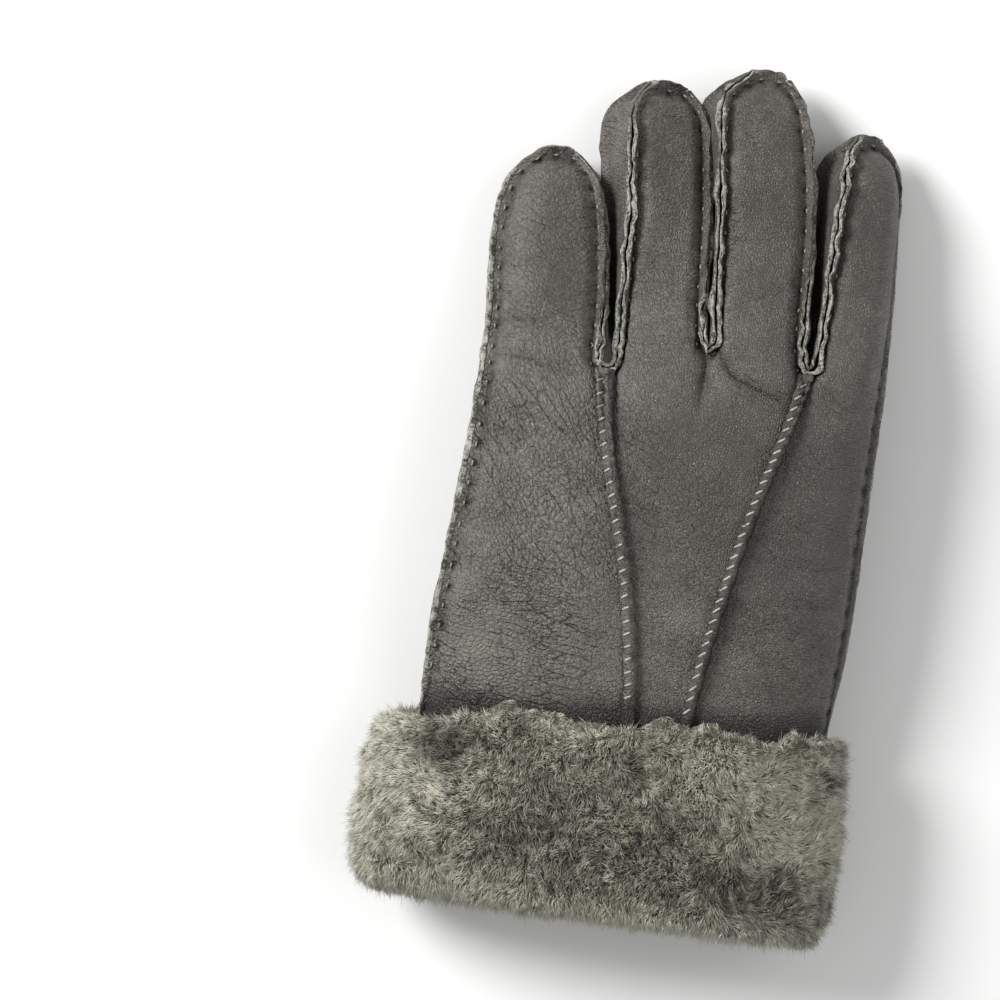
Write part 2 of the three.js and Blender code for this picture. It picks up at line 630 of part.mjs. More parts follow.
// A point of the thumb: s runs across it, face is 1 for its upper half.
function thumbPoint(row, s, face, depth) {
  const { along, top, width, half, turn } = THUMB[row];
  const last = THUMB.length - 1;
  const turned = radians(turn);
  const rise = THUMB_AXIS.clone().multiplyScalar(Math.cos(turned)).addScaledVector(UP, Math.sin(turned));
  const cross = THUMB_AXIS.clone().cross(UP);
  const backset = THUMB_BACKSET[THUMB_BACKSET.length - 1 - (last - row)] ?? 0;
  const crown = row === last ? 0 : Math.max(half - depth, LEAST_LEVEL);
  return THUMB_HOLE.clone()
    .addScaledVector(THUMB_AXIS, along - backset * depth)
    .addScaledVector(UP, top)
    .addScaledVector(rise, -half + face * crown * arch(s, FINGER_POWER))
    .addScaledVector(cross, s * (width - depth));
}
function thumbNode(row, s) {
  const last = row === THUMB.length - 1;
  const cross = THUMB_AXIS.clone().cross(UP);
  const lip = Math.abs(s) === 1 ? cross.multiplyScalar(s) : vector(0, 0, 0);
  if (last) lip.add(THUMB_AXIS);
  lip.addScaledVector(UP, -THUMB_DROOP).normalize();
  return {
    key: `${row} ${s}`,
    seam: thumbPoint(row, s, 1, 0),
    deep: thumbPoint(row, s, 1, THUMB_WALL),
    lip,
    height: THUMB[row].lip,
    thick: LIP_THICKNESS,
  };
}
const THUMB_SEAM = (() => {
  const path = [];
  const last = THUMB.length - 1;
  for (let row = 0; row < last; row++) path.push(thumbNode(row, -1));
  for (const s of THUMB_ACROSS) path.push(thumbNode(last, s));
  for (let row = last - 1; row >= 0; row--) path.push(thumbNode(row, 1));
  return new Map(crossed(path).map((node) => [node.key, node]));
})();
function thumbHalf(face) {
  const sheet = new Sheet();
  const rows = THUMB.map((_, row) =>
    THUMB_ACROSS.map((s) => {
      const node = THUMB_SEAM.get(`${row} ${s}`);
      if (node) return sewn(sheet, node, face);
      return sheet.add(thumbPoint(row, s, face, 0), thumbPoint(row, s, face, THUMB_WALL));
    }),
  );
  for (let row = 0; row + 1 < rows.length; row++) sheet.strip(rows[row], rows[row + 1]);
  return sheet.geometry();
}

// The hole in the palm that the thumb stands in.
function thumbHole() {
  const { along, width, half } = THUMB[0];
  const side = (face) => {
    const steps = face > 0 ? [...THUMB_ACROSS] : [...THUMB_ACROSS].reverse();
    return steps.map((s) => {
      const across = s * (width + HOLE_CLEARANCE);
      return new THREE.Vector2(across, along - half + face * (half + HOLE_CLEARANCE) * arch(s, FINGER_POWER));
    });
  };
  const outline = new THREE.Shape([...side(-1).reverse(), ...side(1).reverse().slice(1, -1)]);
  const geometry = new THREE.ExtrudeGeometry(outline, { depth: HOLE_DEPTH, bevelEnabled: false });
  const cross = THUMB_AXIS.clone().cross(UP);
  const frame = new THREE.Matrix4().makeBasis(cross, THUMB_AXIS, UP);
  frame.setPosition(THUMB_HOLE.x, THUMB_HOLE.y, HOLE_BOTTOM);
  return geometry.applyMatrix4(frame);
}

// A sewn ridge on the back of the hand. Its underside follows the panel's facets.
function ridge({ line, width, height, top }) {
  const onPanel = (share, row) => {
    const r = HAND_ROWS[row];
    const column = share < 0 ? line - 1 : line;
    const s = share < 0 ? 1 : -1;
    const edge = row === HAND_TOP ? fingerPoint(column, 0, s, 1, 0) : handPoint(column, s, r, 1, 0);
    return webPoint(line, r, 1, 0).lerp(edge, Math.abs(share));
  };
  const rings = [];
  for (let row = POINT_START; row <= HAND_TOP; row++) {
    const place = (across) => {
      const share = (across * width) / STRIP;
      if (row < HAND_TOP) return onPanel(share, row);
      const under = onPanel(share, row - 1);
      return under.lerp(onPanel(share, row), (top - HAND_ROWS[row - 1]) / (1 - HAND_ROWS[row - 1]));
    };
    const lift = RIDGE_LIFT + (row >= HAND_TOP - RIDGE_TOP_ROWS ? RIDGE_TOP_LIFT : 0);
    const tall = row === POINT_START || row === HAND_TOP ? height * RIDGE_END : height;
    const above = ({ across, up }) => place(across).addScaledVector(UP, lift + RIDGE_EDGE + up * tall);
    const ring = POINT_PROFILE.map(above);
    for (const across of [1, 0, -1]) ring.push(place(across).addScaledVector(UP, lift));
    rings.push(ring);
  }
  return tube(rings, true);
}

// Joins rings of equal length. Open ends get a flat cap, and closed ones run round to the first ring.
function tube(rings, capped) {
  const size = rings[0].length;
  const triangles = [];
  const bands = capped ? rings.length - 1 : rings.length;
  for (let i = 0; i < bands; i++) {
    const from = i * size;
    const to = ((i + 1) % rings.length) * size;
    for (let j = 0; j < size; j++) {
      const next = (j + 1) % size;
      triangles.push([from + j, from + next, to + next], [from + j, to + next, to + j]);
    }
  }
  if (capped) {
    const end = (rings.length - 1) * size;
    for (let j = 1; j + 1 < size; j++) triangles.push([0, j + 1, j], [end, end + j, end + j + 1]);
  }
  return solid(rings.flat(), triangles);
}

// A repeatable scatter between -1 and 1.
function scatter(a, b) {
  const value = Math.sin(a * SCATTER.first + b * SCATTER.second) * SCATTER.scale;
  return 2 * (value - Math.floor(value)) - 1;
}

function cuff() {
  const sides = Array.from({ length: CUFF_SIDES }, (_, i) => (2 * Math.PI * i) / CUFF_SIDES);
  const edgeShift = (x) => read(CUFF_EDGE, "y", x, "x") - CUFF_EDGE_LEVEL;
  const wool = WOOL_STATIONS.map((station, ring) =>
    sides.map((angle, i) => {
      const s = Math.cos(angle);
      const bulge = Math.sign(Math.sin(angle)) * arch(s, ROUND_POWER);
      const place = vector(station.x + s * station.width, station.y, station.z + bulge * station.height);
      place.y += station.edge * edgeShift(place.x);
      const grown = smoothstep(place.z, 0, LOCK_CLEARANCE) * (ring < WOOL_STATIONS.length - 1 ? 1 : 0);
      const tip = (ring + i) % 2 === 0;
      const rise = tip ? grown * LOCK_HEIGHT * (1 - LOCK_SPREAD + LOCK_SPREAD * scatter(ring, i)) : 0;
      const lean = grown * LOCK_LEAN;
      place.x += rise * s + lean * LOCK_SIDEWAYS * scatter(i, ring + CUFF_SIDES);
      place.z += rise * bulge;
      place.y += lean * scatter(ring, i + CUFF_SIDES) * (tip ? 1 : ROOT_LEAN);
      place.z = Math.max(place.z, 0);
      return place;
    }),
  );
  const leather = LEATHER_STATIONS.map(({ y, depth, narrower, edge }) =>
    sides.map((angle) => {
      const face = Math.sin(angle) >= 0 ? 1 : -1;
      const s = Math.cos(angle);
      const flat = handSection(s, y, face, depth, narrower);
      return edge ? handSection(s, y + edge * edgeShift(flat.x), face, depth, narrower) : flat;
    }),
  );
  return tube([...wool, ...leather], false);
}

function toManifold(geometry) {
  const bare = new THREE.BufferGeometry().copy(geometry).deleteAttribute("normal").deleteAttribute("uv");
  const merged = mergeVertices(bare);
  const mesh = new wasm.Mesh({
    numProp: 3,
    vertProperties: new Float32Array(merged.attributes.position.array),
    triVerts: new Uint32Array(merged.index.array),
  });
  return new wasm.Manifold(mesh);
}
function cut(geometry, tool) {
  const mesh = toManifold(geometry).subtract(toManifold(tool)).getMesh();
  const result = new THREE.BufferGeometry();
  result.setAttribute("position", new THREE.Float32BufferAttribute(mesh.vertProperties, 3));
  result.setIndex(Array.from(mesh.triVerts));
  result.computeVertexNormals();
  return result;
}

const group = new THREE.Group();
group.name = "shearling_leather_glove";
function piece(name, geometry, look) {
  const mesh = new THREE.Mesh(geometry, new THREE.MeshStandardMaterial(look));
  mesh.name = name;
  mesh.position.set(...PATTERN_TO_ORIGIN);
  group.add(mesh);
}

piece("back_panel", panel(1), LEATHER);
piece("palm_panel", cut(panel(-1), thumbHole()), LEATHER);
piece("fourchette_little_ring", fourchette(1), SIDE_LEATHER);
piece("fourchette_ring_middle", fourchette(2), SIDE_LEATHER);
piece("fourchette_middle_index", fourchette(3), SIDE_LEATHER);
piece("thumb_back", thumbHalf(-1), THUMB_LEATHER);
piece("thumb_front", thumbHalf(1), THUMB_LEATHER);
for (const [name, sizes] of Object.entries(POINTS)) piece(name, ridge(sizes), RIDGE_LEATHER);
piece("shearling_cuff", cuff(), WOOL);

export default group;
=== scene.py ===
"""Dresses a sewn shearling glove: grained leather, raw wavy seam edges, stitches and a clumped wool cuff."""

import math

import bmesh
import bpy
import numpy as np
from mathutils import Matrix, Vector, kdtree, noise
from mathutils.bvhtree import BVHTree


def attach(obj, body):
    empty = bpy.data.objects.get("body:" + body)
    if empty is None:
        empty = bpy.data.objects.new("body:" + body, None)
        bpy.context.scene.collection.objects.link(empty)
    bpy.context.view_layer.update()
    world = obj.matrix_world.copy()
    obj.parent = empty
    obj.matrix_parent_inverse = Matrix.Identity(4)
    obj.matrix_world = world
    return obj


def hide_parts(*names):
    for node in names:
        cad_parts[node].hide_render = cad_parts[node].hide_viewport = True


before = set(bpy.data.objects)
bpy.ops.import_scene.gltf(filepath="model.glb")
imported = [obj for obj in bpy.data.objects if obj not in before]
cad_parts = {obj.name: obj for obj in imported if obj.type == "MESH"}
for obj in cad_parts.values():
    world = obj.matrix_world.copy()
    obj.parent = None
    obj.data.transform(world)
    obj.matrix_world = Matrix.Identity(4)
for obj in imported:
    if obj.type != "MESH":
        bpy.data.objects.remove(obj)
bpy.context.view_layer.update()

bl_info = {
    "name": "Shearling Glove",
    "version": (1, 0, 0),
    "blender": (4, 5, 0),
    "location": "View3D > Sidebar > Glove",
    "description": "Dresses a shearling glove with grain, raw seams, stitches and wool",
    "category": "Object",
}

MM = 0.001
ROOT = "root"
PANELS = ("back_panel", "palm_panel")
LEATHER = {
    "leather": PANELS,
    "side_leather": ("fourchette_little_ring", "fourchette_ring_middle", "fourchette_middle_index"),
    "thumb_leather": ("thumb_back", "thumb_front"),
}
COVERED_Y = -68.0  # mm; below this the cuff hides the leather
RIM_Y = -74.0  # mm; above this lies the cuff's rolled rim,
MOUTH_Y = -126.0  # mm; and below this its mouth
OUTER_X = -46.0  # mm; beyond this lies the outer seam on the little finger's side
TUCKED_X = 60.0  # mm; beyond this the index finger's outer edge is folded under,
TUCKED_Y = 104.0  # mm; up to here
LIP_SPAN = (0.35, 1.3)  # mm; the thickness of a raw edge
SHARP = math.radians(48)  # a fold this steep is a corner that stays crisp
FLAT = math.radians(38)  # and one up to this lies across the top of a raw edge
FAR = 30.0  # mm; a crease or a seam this far off has no effect
CREASE_STEPS = 14  # along one crease
SEAM_STEP = 0.8  # mm between the places where a seam is read
STITCH_PITCH = 6.4  # mm between running stitches
THREAD_STEPS = 5  # along one whip stitch
SMOOTH_LEVELS = 2  # subdivisions of a plain piece
RIDGE_LEVELS = 3  # and of a ridge
LOWEST = 0.15  # mm; how near the leather comes to the surface below
SENSOR = 36.0  # mm; the width of the camera's sensor
VIEW_Z = 0.03  # m; the height at which the view's width is measured
FLOOR_HALF = 4.0  # m

# Creases in the back, in mm from above: a start, the point that bends it, an end, its depth and its half width.
CREASES = [
    ((15, 48), (19, 35), (41, 32.5), 1.6, 2.0),
    ((36, -16), (50, -19), (65, -16), 0.5, 1.3),
    ((38, -29), (52, -31), (66, -27), 0.45, 1.2),
    ((-56, 44), (-44, 49), (-30, 45), 0.5, 1.2),
    ((-55, 34), (-43, 37), (-28, 30), 0.45, 1.2),
    ((-52, 62), (-42, 66), (-27, 63), 0.35, 1.0),
    ((44, 86), (30, 84), (14, 78), 0.35, 1.1),
    ((40, 68), (28, 66), (18, 58), 0.4, 1.2),
    ((-55, -43), (-35, -38), (-6, -48), 0.45, 1.5),
    ((-50, 18), (-34, 20), (-20, 8), 0.35, 1.1),
    ((46, 44), (52, 34), (62, 32), 0.5, 1.4),
]

# Broad patches of painted light and shade on the leather, mostly lighter on the little finger's side, where the key
# light stands, and darker on the index finger's, from above: x, y, half width and half height in mm, and a tone, above
# 0 where it is lighter.
LEATHER_LIGHT_PATCHES = [
    (-38, -50, 30, 28, 0.42),
    (-32, -2, 22, 30, 0.18),
    (14, 8, 24, 28, -0.34),
    (12, -44, 16, 20, 0.16),
    (58, -8, 24, 64, -0.42),
    (-40, 62, 14, 30, -0.18),
    (30, 95, 16, 40, -0.23),
    (60, 85, 16, 35, -0.27),
]

# The two ridges, in mm: half their width, their tone, their middle line from above, and their stitches' pitch,
# reach to either side and slant.
RIDGES = {
    "point_ring": {
        "piece": "ridge_ring",
        "half": 2.3,
        "tone": 0.0,
        "route": [(-18, 33), (-17, 26.5), (-15, 16.5), (-12.5, 6.5), (-9.2, -3.5), (-6.3, -13.5), (-3.4, -23.5),
                  (-1, -33.5), (1, -43.5), (2.8, -53.5), (4.2, -63.5), (5, -70)],
        "pitch": 3.9,
        "reach": (2.0, -0.1),
        "slant": 0.8,
    },
    "point_index": {
        "piece": "ridge_index",
        "half": 1.95,
        "tone": -0.14,
        "route": [(44.3, 39), (43, 35), (41, 26.5), (38.4, 16.5), (35.4, 6.5), (32.8, -3.5), (30.6, -13.5),
                  (28.7, -23.5), (26.9, -33.5), (25.2, -43.5), (23.8, -53.5), (22.6, -63.5), (22, -68.5)],
        "pitch": 3.5,
        "reach": (1.3, -0.5),
        "slant": 2.1,
    },
}

# How long the running stitches at the foot of the raw edges are, in mm, on each piece that shows them.
RUNNING = {"back_panel": 1.4, "palm_panel": 1.6, "thumb_back": 1.6}

# The net of fine wrinkles, leaning or level: its turn, and how many cells there are in a mm along and across it.
NETS = {
    "leaning": {"angle": 0.80, "scale": (0.40, 0.70, 1.0)},
    "level": {"angle": 0.06, "scale": (0.44, 0.80, 1.0)},
}
NET_MIDDLE = 5.0  # mm; the net leans up to this far from here,
NET_REACH = 35.0  # mm; and is level beyond

# Light and dark areas of the wool, in the same columns as the leather's.
WOOL_PATCHES = [
    (-70, -104, 19, 34, 0.22),
    (-49, -128, 26, 7, 0.26),
    (-8, -130, 30, 5, 0.26),
    (36, -134, 40, 6, 0.42),
    (35, -83, 32, 15, 0.40),
    (60, -104, 18, 12, 0.34),
    (-35, -97, 6, 4, 0.22),
    (-50, -86, 10, 7, -0.80),
    (-30, -108, 15, 8, -0.12),
    (8, -110, 24, 12, -0.24),
    (52, -118, 16, 6, -0.40),
    (23, -103, 3.5, 4, -0.60),
    (7, -87, 4, 6, -0.50),
    (68, -81.5, 6, 2.5, -0.50),
    (37, -113, 6, 4, -0.25),
]
WOOL_PARTS = 4


class Term:
    """A shader socket that takes part in sums and products."""

    def __init__(self, graph, socket):
        self.graph = graph
        self.socket = socket

    def sum(self, operation, *others):
        return self.graph.add("ShaderNodeMath", {"operation": operation}, dict(enumerate((self, *others))))

    def __add__(self, other):
        return self.sum("ADD", other)

    def __sub__(self, other):
        return self.sum("SUBTRACT", other)

    def __mul__(self, other):
        return self.sum("MULTIPLY", other)

    def __truediv__(self, other):
        return self.sum("DIVIDE", other)

    def __pow__(self, other):
        return self.sum("POWER", other)

    def __gt__(self, other):
        return self.sum("GREATER_THAN", other)

    def __radd__(self, other):
        return self.sum("ADD", other)

    def __rsub__(self, other):
        return self.graph.add("ShaderNodeMath", {"operation": "SUBTRACT"}, {0: other, 1: self})

    def __rmul__(self, other):
        return self.sum("MULTIPLY", other)

    def __abs__(self):
        return self.sum("ABSOLUTE")

    def ramp(self, low, high, start=0.0, end=1.0):
        """This value's way from low to high, smoothed, as a number from start to end."""
        values = {"Value": self, "From Min": low, "From Max": high, "To Min": start, "To Max": end}
        return self.graph.add("ShaderNodeMapRange", {"interpolation_type": "SMOOTHSTEP"}, values)


class Finish:
    """A material whose nodes are added one by one."""

    def __init__(self, name):
        self.material = bpy.data.materials.new(name)
        self.material.use_nodes = True
        self.tree = self.material.node_tree
        self.tree.nodes.clear()

    def add(self, kind, settings=None, values=None, output=0):
        node = self.tree.nodes.new(kind)
        for key, value in (settings or {}).items():
            setattr(node, key, value)
        for key, value in (values or {}).items():
            if isinstance(value, Term):
                self.tree.links.new(value.socket, node.inputs[key])
            else:
                node.inputs[key].default_value = value
        return Term(self, node.outputs[output]) if node.outputs else None

    def place(self):
        """Object coordinates, in millimetres."""
        where = self.add("ShaderNodeTexCoord", output="Object")
        return self.add("ShaderNodeMapping", {}, {"Vector": where, "Scale": (1 / MM, 1 / MM, 1 / MM)})

    def noise(self, where, scale, detail=3.0, roughness=0.55):
        values = {"Vector": where, "Scale": scale, "Detail": detail, "Roughness": roughness}
        return self.add("ShaderNodeTexNoise", {}, values)

    def cells(self, where, scale):
        """Flat cells, as the distance from the edge of each."""
        settings = {"feature": "DISTANCE_TO_EDGE", "voronoi_dimensions": "2D"}
        return self.add("ShaderNodeTexVoronoi", settings, {"Vector": where, "Scale": scale})

    def lines(self, where, scale, thin):
        """Thin wandering lines, as 1 on a line and 0 away from it."""
        return abs(self.noise(where, scale, 1.5, 0.5) - 0.5).ramp(0.0, thin, 1.0, 0.0)

    def attribute(self, name):
        return self.add("ShaderNodeAttribute", {"attribute_name": name}, output="Fac")

    def axis(self, where, name):
        return self.add("ShaderNodeSeparateXYZ", {}, {"Vector": where}, output=name)

    def join(self, x, y, z=0.0):
        return self.add("ShaderNodeCombineXYZ", {}, {"X": x, "Y": y, "Z": z})

    def stretched(self, where, scale):
        return self.add("ShaderNodeVectorMath", {"operation": "MULTIPLY"}, {0: where, 1: scale})

    def turned(self, where, angle, scale):
        """Coordinates turned about Z, then stretched where the scale is small."""
        around = self.add("ShaderNodeVectorRotate", {"rotation_type": "Z_AXIS"}, {"Vector": where, "Angle": angle})
        return self.stretched(around, scale)

    def mix(self, share, first, second):
        """A colour between two."""
        return self.add("ShaderNodeMix", {"data_type": "RGBA"}, {0: share, 6: first, 7: second}, output=2)

    def choose(self, share, first, second):
        """Coordinates between two."""
        return self.add("ShaderNodeMix", {"data_type": "VECTOR"}, {0: share, 4: first, 5: second}, output=1)

    def shift(self, where, by, amount):
        """Coordinates moved by a noise's colour."""
        scaled = self.add("ShaderNodeVectorMath", {"operation": "SCALE"}, {0: by, "Scale": amount})
        return self.add("ShaderNodeVectorMath", {"operation": "ADD"}, {0: where, 1: scaled})

    def bump(self, height, strength, distance, normal=None):
        """Relief of a depth in metres, on top of the relief that normal gives."""
        values = {"Height": height, "Strength": strength, "Distance": distance}
        if normal is not None:
            values["Normal"] = normal
        return self.add("ShaderNodeBump", {}, values)

    def surface(self, **values):
        shader = self.add("ShaderNodeBsdfPrincipled", {}, {k.replace("_", " "): v for k, v in values.items()})
        self.add("ShaderNodeOutputMaterial", {}, {"Surface": shader})
        return self.material


def rgba(colour):
    """A colour with full alpha, as a socket takes it."""
    return (*colour, 1.0)


def leather_finish(name, look):
    """Taupe sheepskin: pebbled grain in a net of wrinkles, creases, puckers at the seams and pale cut edges."""
    f = Finish(name)
    where = f.place()
    sideways, upwards, height = (f.axis(where, letter) for letter in "XYZ")
    raw, across, near, along = map(f.attribute, ("raw", "across", "seam_near", "seam_along"))
    hollow, tone, fold = map(f.attribute, ("hollow", "tone", "fold"))
    fold_gap = f.attribute("fold_gap") + (f.noise(where, 0.20, 2.0) - 0.5) * 3.2
    warp = f.add("ShaderNodeTexNoise", {}, {"Vector": where, "Scale": 0.05, "Detail": 1.0}, output="Color")
    leant = f.join(sideways + height * 0.6, upwards + height * 0.3)
    bent = f.shift(leant, warp, 7.0)
    little_side = (sideways * -1).ramp(-12.0, 28.0)
    # Stretched pebbles that lean down the hand and lie level elsewhere, between longer creases.
    zone = upwards + (f.noise(where, 0.12, 1.0) - 0.5) * 30
    level = abs(zone - NET_MIDDLE) > NET_REACH
    net_at = f.choose(level, f.turned(bent, **NETS["leaning"]), f.turned(bent, **NETS["level"]))
    net = f.cells(net_at, 1.0)
    netted = f.noise(where, 0.05, 2.0).ramp(0.38, 0.60) * 0.40 + little_side * 0.45 + 0.15
    netted = netted * upwards.ramp(12.0, 42.0, 1.0, 0.55)
    long_at = f.stretched(net_at, (0.22, 0.44, 1.0))
    lined = f.noise(where, 0.075, 2.0).ramp(0.38, 0.58) * (0.35 + 0.65 * little_side)
    lines = f.cells(long_at, 1.0).ramp(0.0, 0.10, 1.0, 0.0) * lined * upwards.ramp(15.0, 45.0, 1.0, 0.5)
    pebbles = f.cells(bent, 1.25).ramp(0.0, 0.32) * (1 - little_side * 0.5)
    grit = f.noise(where, 1.25, 4.0, 0.75)
    # A main crease with a thinner one on either side.
    folds = abs(fold_gap).ramp(0.0, 0.85, 1.0, 0.0)
    folds = folds + abs(fold_gap + 2.4).ramp(0.0, 0.5, 0.8, 0.0) + abs(fold_gap - 2.0).ramp(0.0, 0.45, 0.7, 0.0)
    folds = folds * fold
    # Short folds that fan out from each stitch of a seam and die out.
    stitch = along / STITCH_PITCH + 0.5
    number = stitch.sum("FLOOR")
    fan = (stitch - number - 0.5) * STITCH_PITCH * (near + 1.3) ** -1.0
    fan_at = f.join(fan * 1.9, number * 3.7, near * 0.05)
    fanned = f.noise(where, 0.09, 1.0).ramp(0.46, 0.62)
    fans = f.lines(fan_at, 1.0, 0.06) * (1 - near.ramp(1.5, 7.5)) * near.ramp(0.1, 0.8) * fanned
    # The cut edges are pale and frayed, on the lip of a seam alone. The outer seam shows them widest.
    edge_side = (sideways * -1).ramp(50.0, 55.0)
    cut_at = raw + edge_side * 0.13 + (f.noise(where, 0.9, 2.0) - 0.5) * 0.35
    cut = cut_at.ramp(0.60, 0.80) * (1 - across.ramp(0.72, 1.0) * (1 - edge_side))
    fuzz = f.noise(where, 1.2, 4.0, 0.8)
    streak_at = f.join(along * 0.35, across * 2.2, upwards * 0.02)
    streaks = f.noise(streak_at, 1.0, 3.0, 0.7)
    coarse = net.ramp(0.0, 0.30) * netted - lines * 0.9 - fans * 0.9 - folds * 0.8
    fine = pebbles * 0.9 + grit * 0.45
    skin = f.bump(coarse * (1 - cut) + streaks * cut * 1.7, 1.0, look.wrinkle_depth * MM)
    normal = f.bump(fine * (1 - cut) + fuzz * cut * 2.0, 0.9, look.grain_depth * MM, skin)
    # The skin's clouds of colour, with painted light on its pebbles' tops, then what darkens it: painted shade in its
    # wrinkles, creases, pebbles' edges, seam feet and pits, and the painted shade at the cuff.
    clouds = f.noise(where, 0.06, 2.0) * 0.9 + f.noise(where, 0.40, 2.0) * 0.6 - 0.75
    # Own clouds and speckle of tone, painted light on each pebble's top, and the broad tone, which holds painted light
    # and shade.
    share = clouds + grit.ramp(0.36, 0.64) * 0.60 + pebbles * 0.14 + tone + 0.04
    body = f.mix(share.ramp(0.0, 1.0), rgba(look.dark), rgba(look.pale))
    shadow = (sideways * 0.075 - upwards + (f.noise(where, 0.03, 1.0) - 0.5) * 6).ramp(62.0, 73.0)
    # Painted shade in the wrinkle net, the long lines, the fans and the creases, and around each pebble's edge.
    deep = net.ramp(0.0, 0.11, 1.0, 0.0) * netted * 0.31 + lines * 0.37 + fans * 0.26 + folds * 0.42
    deep = deep + (1 - pebbles) * 0.16
    # The crease colour is painted shade, laid over the wrinkles, the seams' hollows and the cuff's shadow.
    body = f.mix((deep + hollow * 0.85 + shadow * 0.90).ramp(0.0, 1.0), body, rgba(look.crease))
    fleshy = f.mix((fuzz * 0.5 + streaks * 0.5).ramp(0.41, 0.59), rgba(look.cut_dark), rgba(look.cut))
    colour = f.mix(cut, body, fleshy)
    rough = (grit * 0.22 + (1 - pebbles) * 0.12 + 0.27) * (1 - cut) + cut * 0.95
    return f.surface(Base_Color=colour, Roughness=rough, Normal=normal, Specular_IOR_Level=0.5)


def thread_finish(name, pale, dark):
    """Thread, with painted shade in the grooves of its twist."""
    f = Finish(name)
    twist = f.noise(f.place(), 3.5, 2.0)
    colour = f.mix(twist.ramp(0.35, 0.65), rgba(dark), rgba(pale))
    return f.surface(Base_Color=colour, Roughness=0.6, Normal=f.bump(twist, 0.5, 0.15 * MM))


def wool_finish(name, look, core):
    """Olive-grey wool, with painted shade between its tufts and at the roots of its strands, and painted light at
    their tips.
    """
    f = Finish(name)
    where = f.place()
    if core:
        fine = f.noise(where, 1.6, 4.0, 0.7)
        # The body under the strands: painted shade, from the deep colour to halfway.
        colour = f.mix(fine.ramp(0.3, 0.75) * 0.6, rgba(look.deep), rgba(look.mid))
        return f.surface(Base_Color=colour, Roughness=0.95, Normal=f.bump(fine, 0.9, 0.9 * MM))
    along = f.attribute("along")
    shade = f.attribute("shade")
    patch = f.noise(where, 0.30, 3.0, 0.65)
    # Painted light towards each strand's tip and painted shade at its root, with each strand's and patch's own tone.
    lit = along * 0.50 + shade + (patch - 0.5) * 1.8
    root = f.mix(lit.ramp(0.15, 0.85), rgba(look.deep), rgba(look.mid))
    colour = f.mix(lit.ramp(0.70, 1.45), root, rgba(look.tip))
    return f.surface(Base_Color=colour, Roughness=0.8, Sheen_Weight=0.2, Sheen_Roughness=0.5)


def floor_finish(look):
    """A matt floor with a faint haze."""
    f = Finish("studio_floor")
    haze = f.noise(f.place(), 0.004, 2.0)
    colour = f.mix(haze, rgba(look.floor), rgba(tuple(c * 0.985 for c in look.floor)))
    return f.surface(Base_Color=colour, Roughness=0.85)


def wrap(piece, slot, *nodes):
    """Lets a piece ride on the glove's one body, in the place of its solids, which are hidden."""
    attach(piece, ROOT)
    if nodes:
        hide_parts(*nodes)


def new_object(name, mesh, material):
    """A smoothly shaded piece of one material."""
    piece = bpy.data.objects.new(name, mesh)
    bpy.context.scene.collection.objects.link(piece)
    mesh.materials.clear()
    mesh.materials.append(material)
    mesh.polygons.foreach_set("use_smooth", np.ones(len(mesh.polygons), dtype=bool))
    return piece


def mesh_from(bm, name):
    """Ends the work on a bmesh and gives its mesh."""
    mesh = bpy.data.meshes.new(name)
    bm.to_mesh(mesh)
    bm.free()
    return mesh


def merged(node):
    """A copy of a solid's mesh with its corners merged and its triangles paired."""
    bm = bmesh.new()
    bm.from_mesh(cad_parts[node].data)
    bmesh.ops.remove_doubles(bm, verts=bm.verts, dist=0.002 * MM)
    bmesh.ops.join_triangles(
        bm, faces=bm.faces, angle_face_threshold=math.radians(40), angle_shape_threshold=math.radians(170)
    )
    return bm


def edge_tops(bm):
    """The short edges across the top of a solid's raw seam edges."""
    tops = []
    for edge in bm.edges:
        if not LIP_SPAN[0] * MM < edge.calc_length() < LIP_SPAN[1] * MM or edge.calc_face_angle(0) > FLAT:
            continue
        if all(any(e is not edge and e.calc_face_angle_signed(0) > SHARP for e in v.link_edges) for v in edge.verts):
            tops.append(edge)
    return tops


def read_seams():
    """For each leather solid, its raw edges as rows of places on its leather and on the edge's top."""
    meshes = {node: merged(node) for nodes in LEATHER.values() for node in nodes}
    tops = {node: edge_tops(bm) for node, bm in meshes.items()}
    ends = [(v.co.copy(), node) for node in meshes for edge in tops[node] for v in edge.verts]
    tree = tree_on([co for co, _ in ends])

    def gap(vert, node):
        away = [d for _, i, d in tree.find_n(vert.co, 12) if ends[i][1] != node]
        return min(away, default=1.0)

    seams = {}
    for node, bm in meshes.items():
        places = {}
        for edge in tops[node]:
            inner, outer = sorted(edge.verts, key=lambda v: gap(v, node))
            places.setdefault(outer, inner)
        rows = []
        left = dict.fromkeys(places)  # keeps its order, so each run starts its rows at the same places
        neighbours = {v: [e.other_vert(v) for e in v.link_edges if e.other_vert(v) in places] for v in places}
        while left:
            start = next((v for v in left if len([n for n in neighbours[v] if n in left]) <= 1), next(iter(left)))
            row = [start]
            del left[start]
            while True:
                onward = [n for n in neighbours[row[-1]] if n in left]
                if not onward:
                    break
                row.append(min(onward, key=lambda n: (n.co - row[-1].co).length))
                del left[row[-1]]
            if len(row) > 3:
                rows.append([seam_place(top, places) for top in row])
        seams[node] = rows
        bm.free()
    return seams


def seam_place(top, places):
    """A place on a seam, in mm: its foot, the top and tip of its raw edge, and the ways that the edge faces."""
    others = [e.other_vert(top) for e in top.link_edges]
    feet = [v for v in others if v not in places and v is not places[top]]
    foot = min(feet, key=lambda v: (v.co - top.co).length)
    return {
        "foot": foot.co / MM,
        "top": top.co / MM,
        "tip": places[top].co / MM,
        "away": (top.co - places[top].co).normalized(),
        "up": (top.co - foot.co).normalized(),
    }


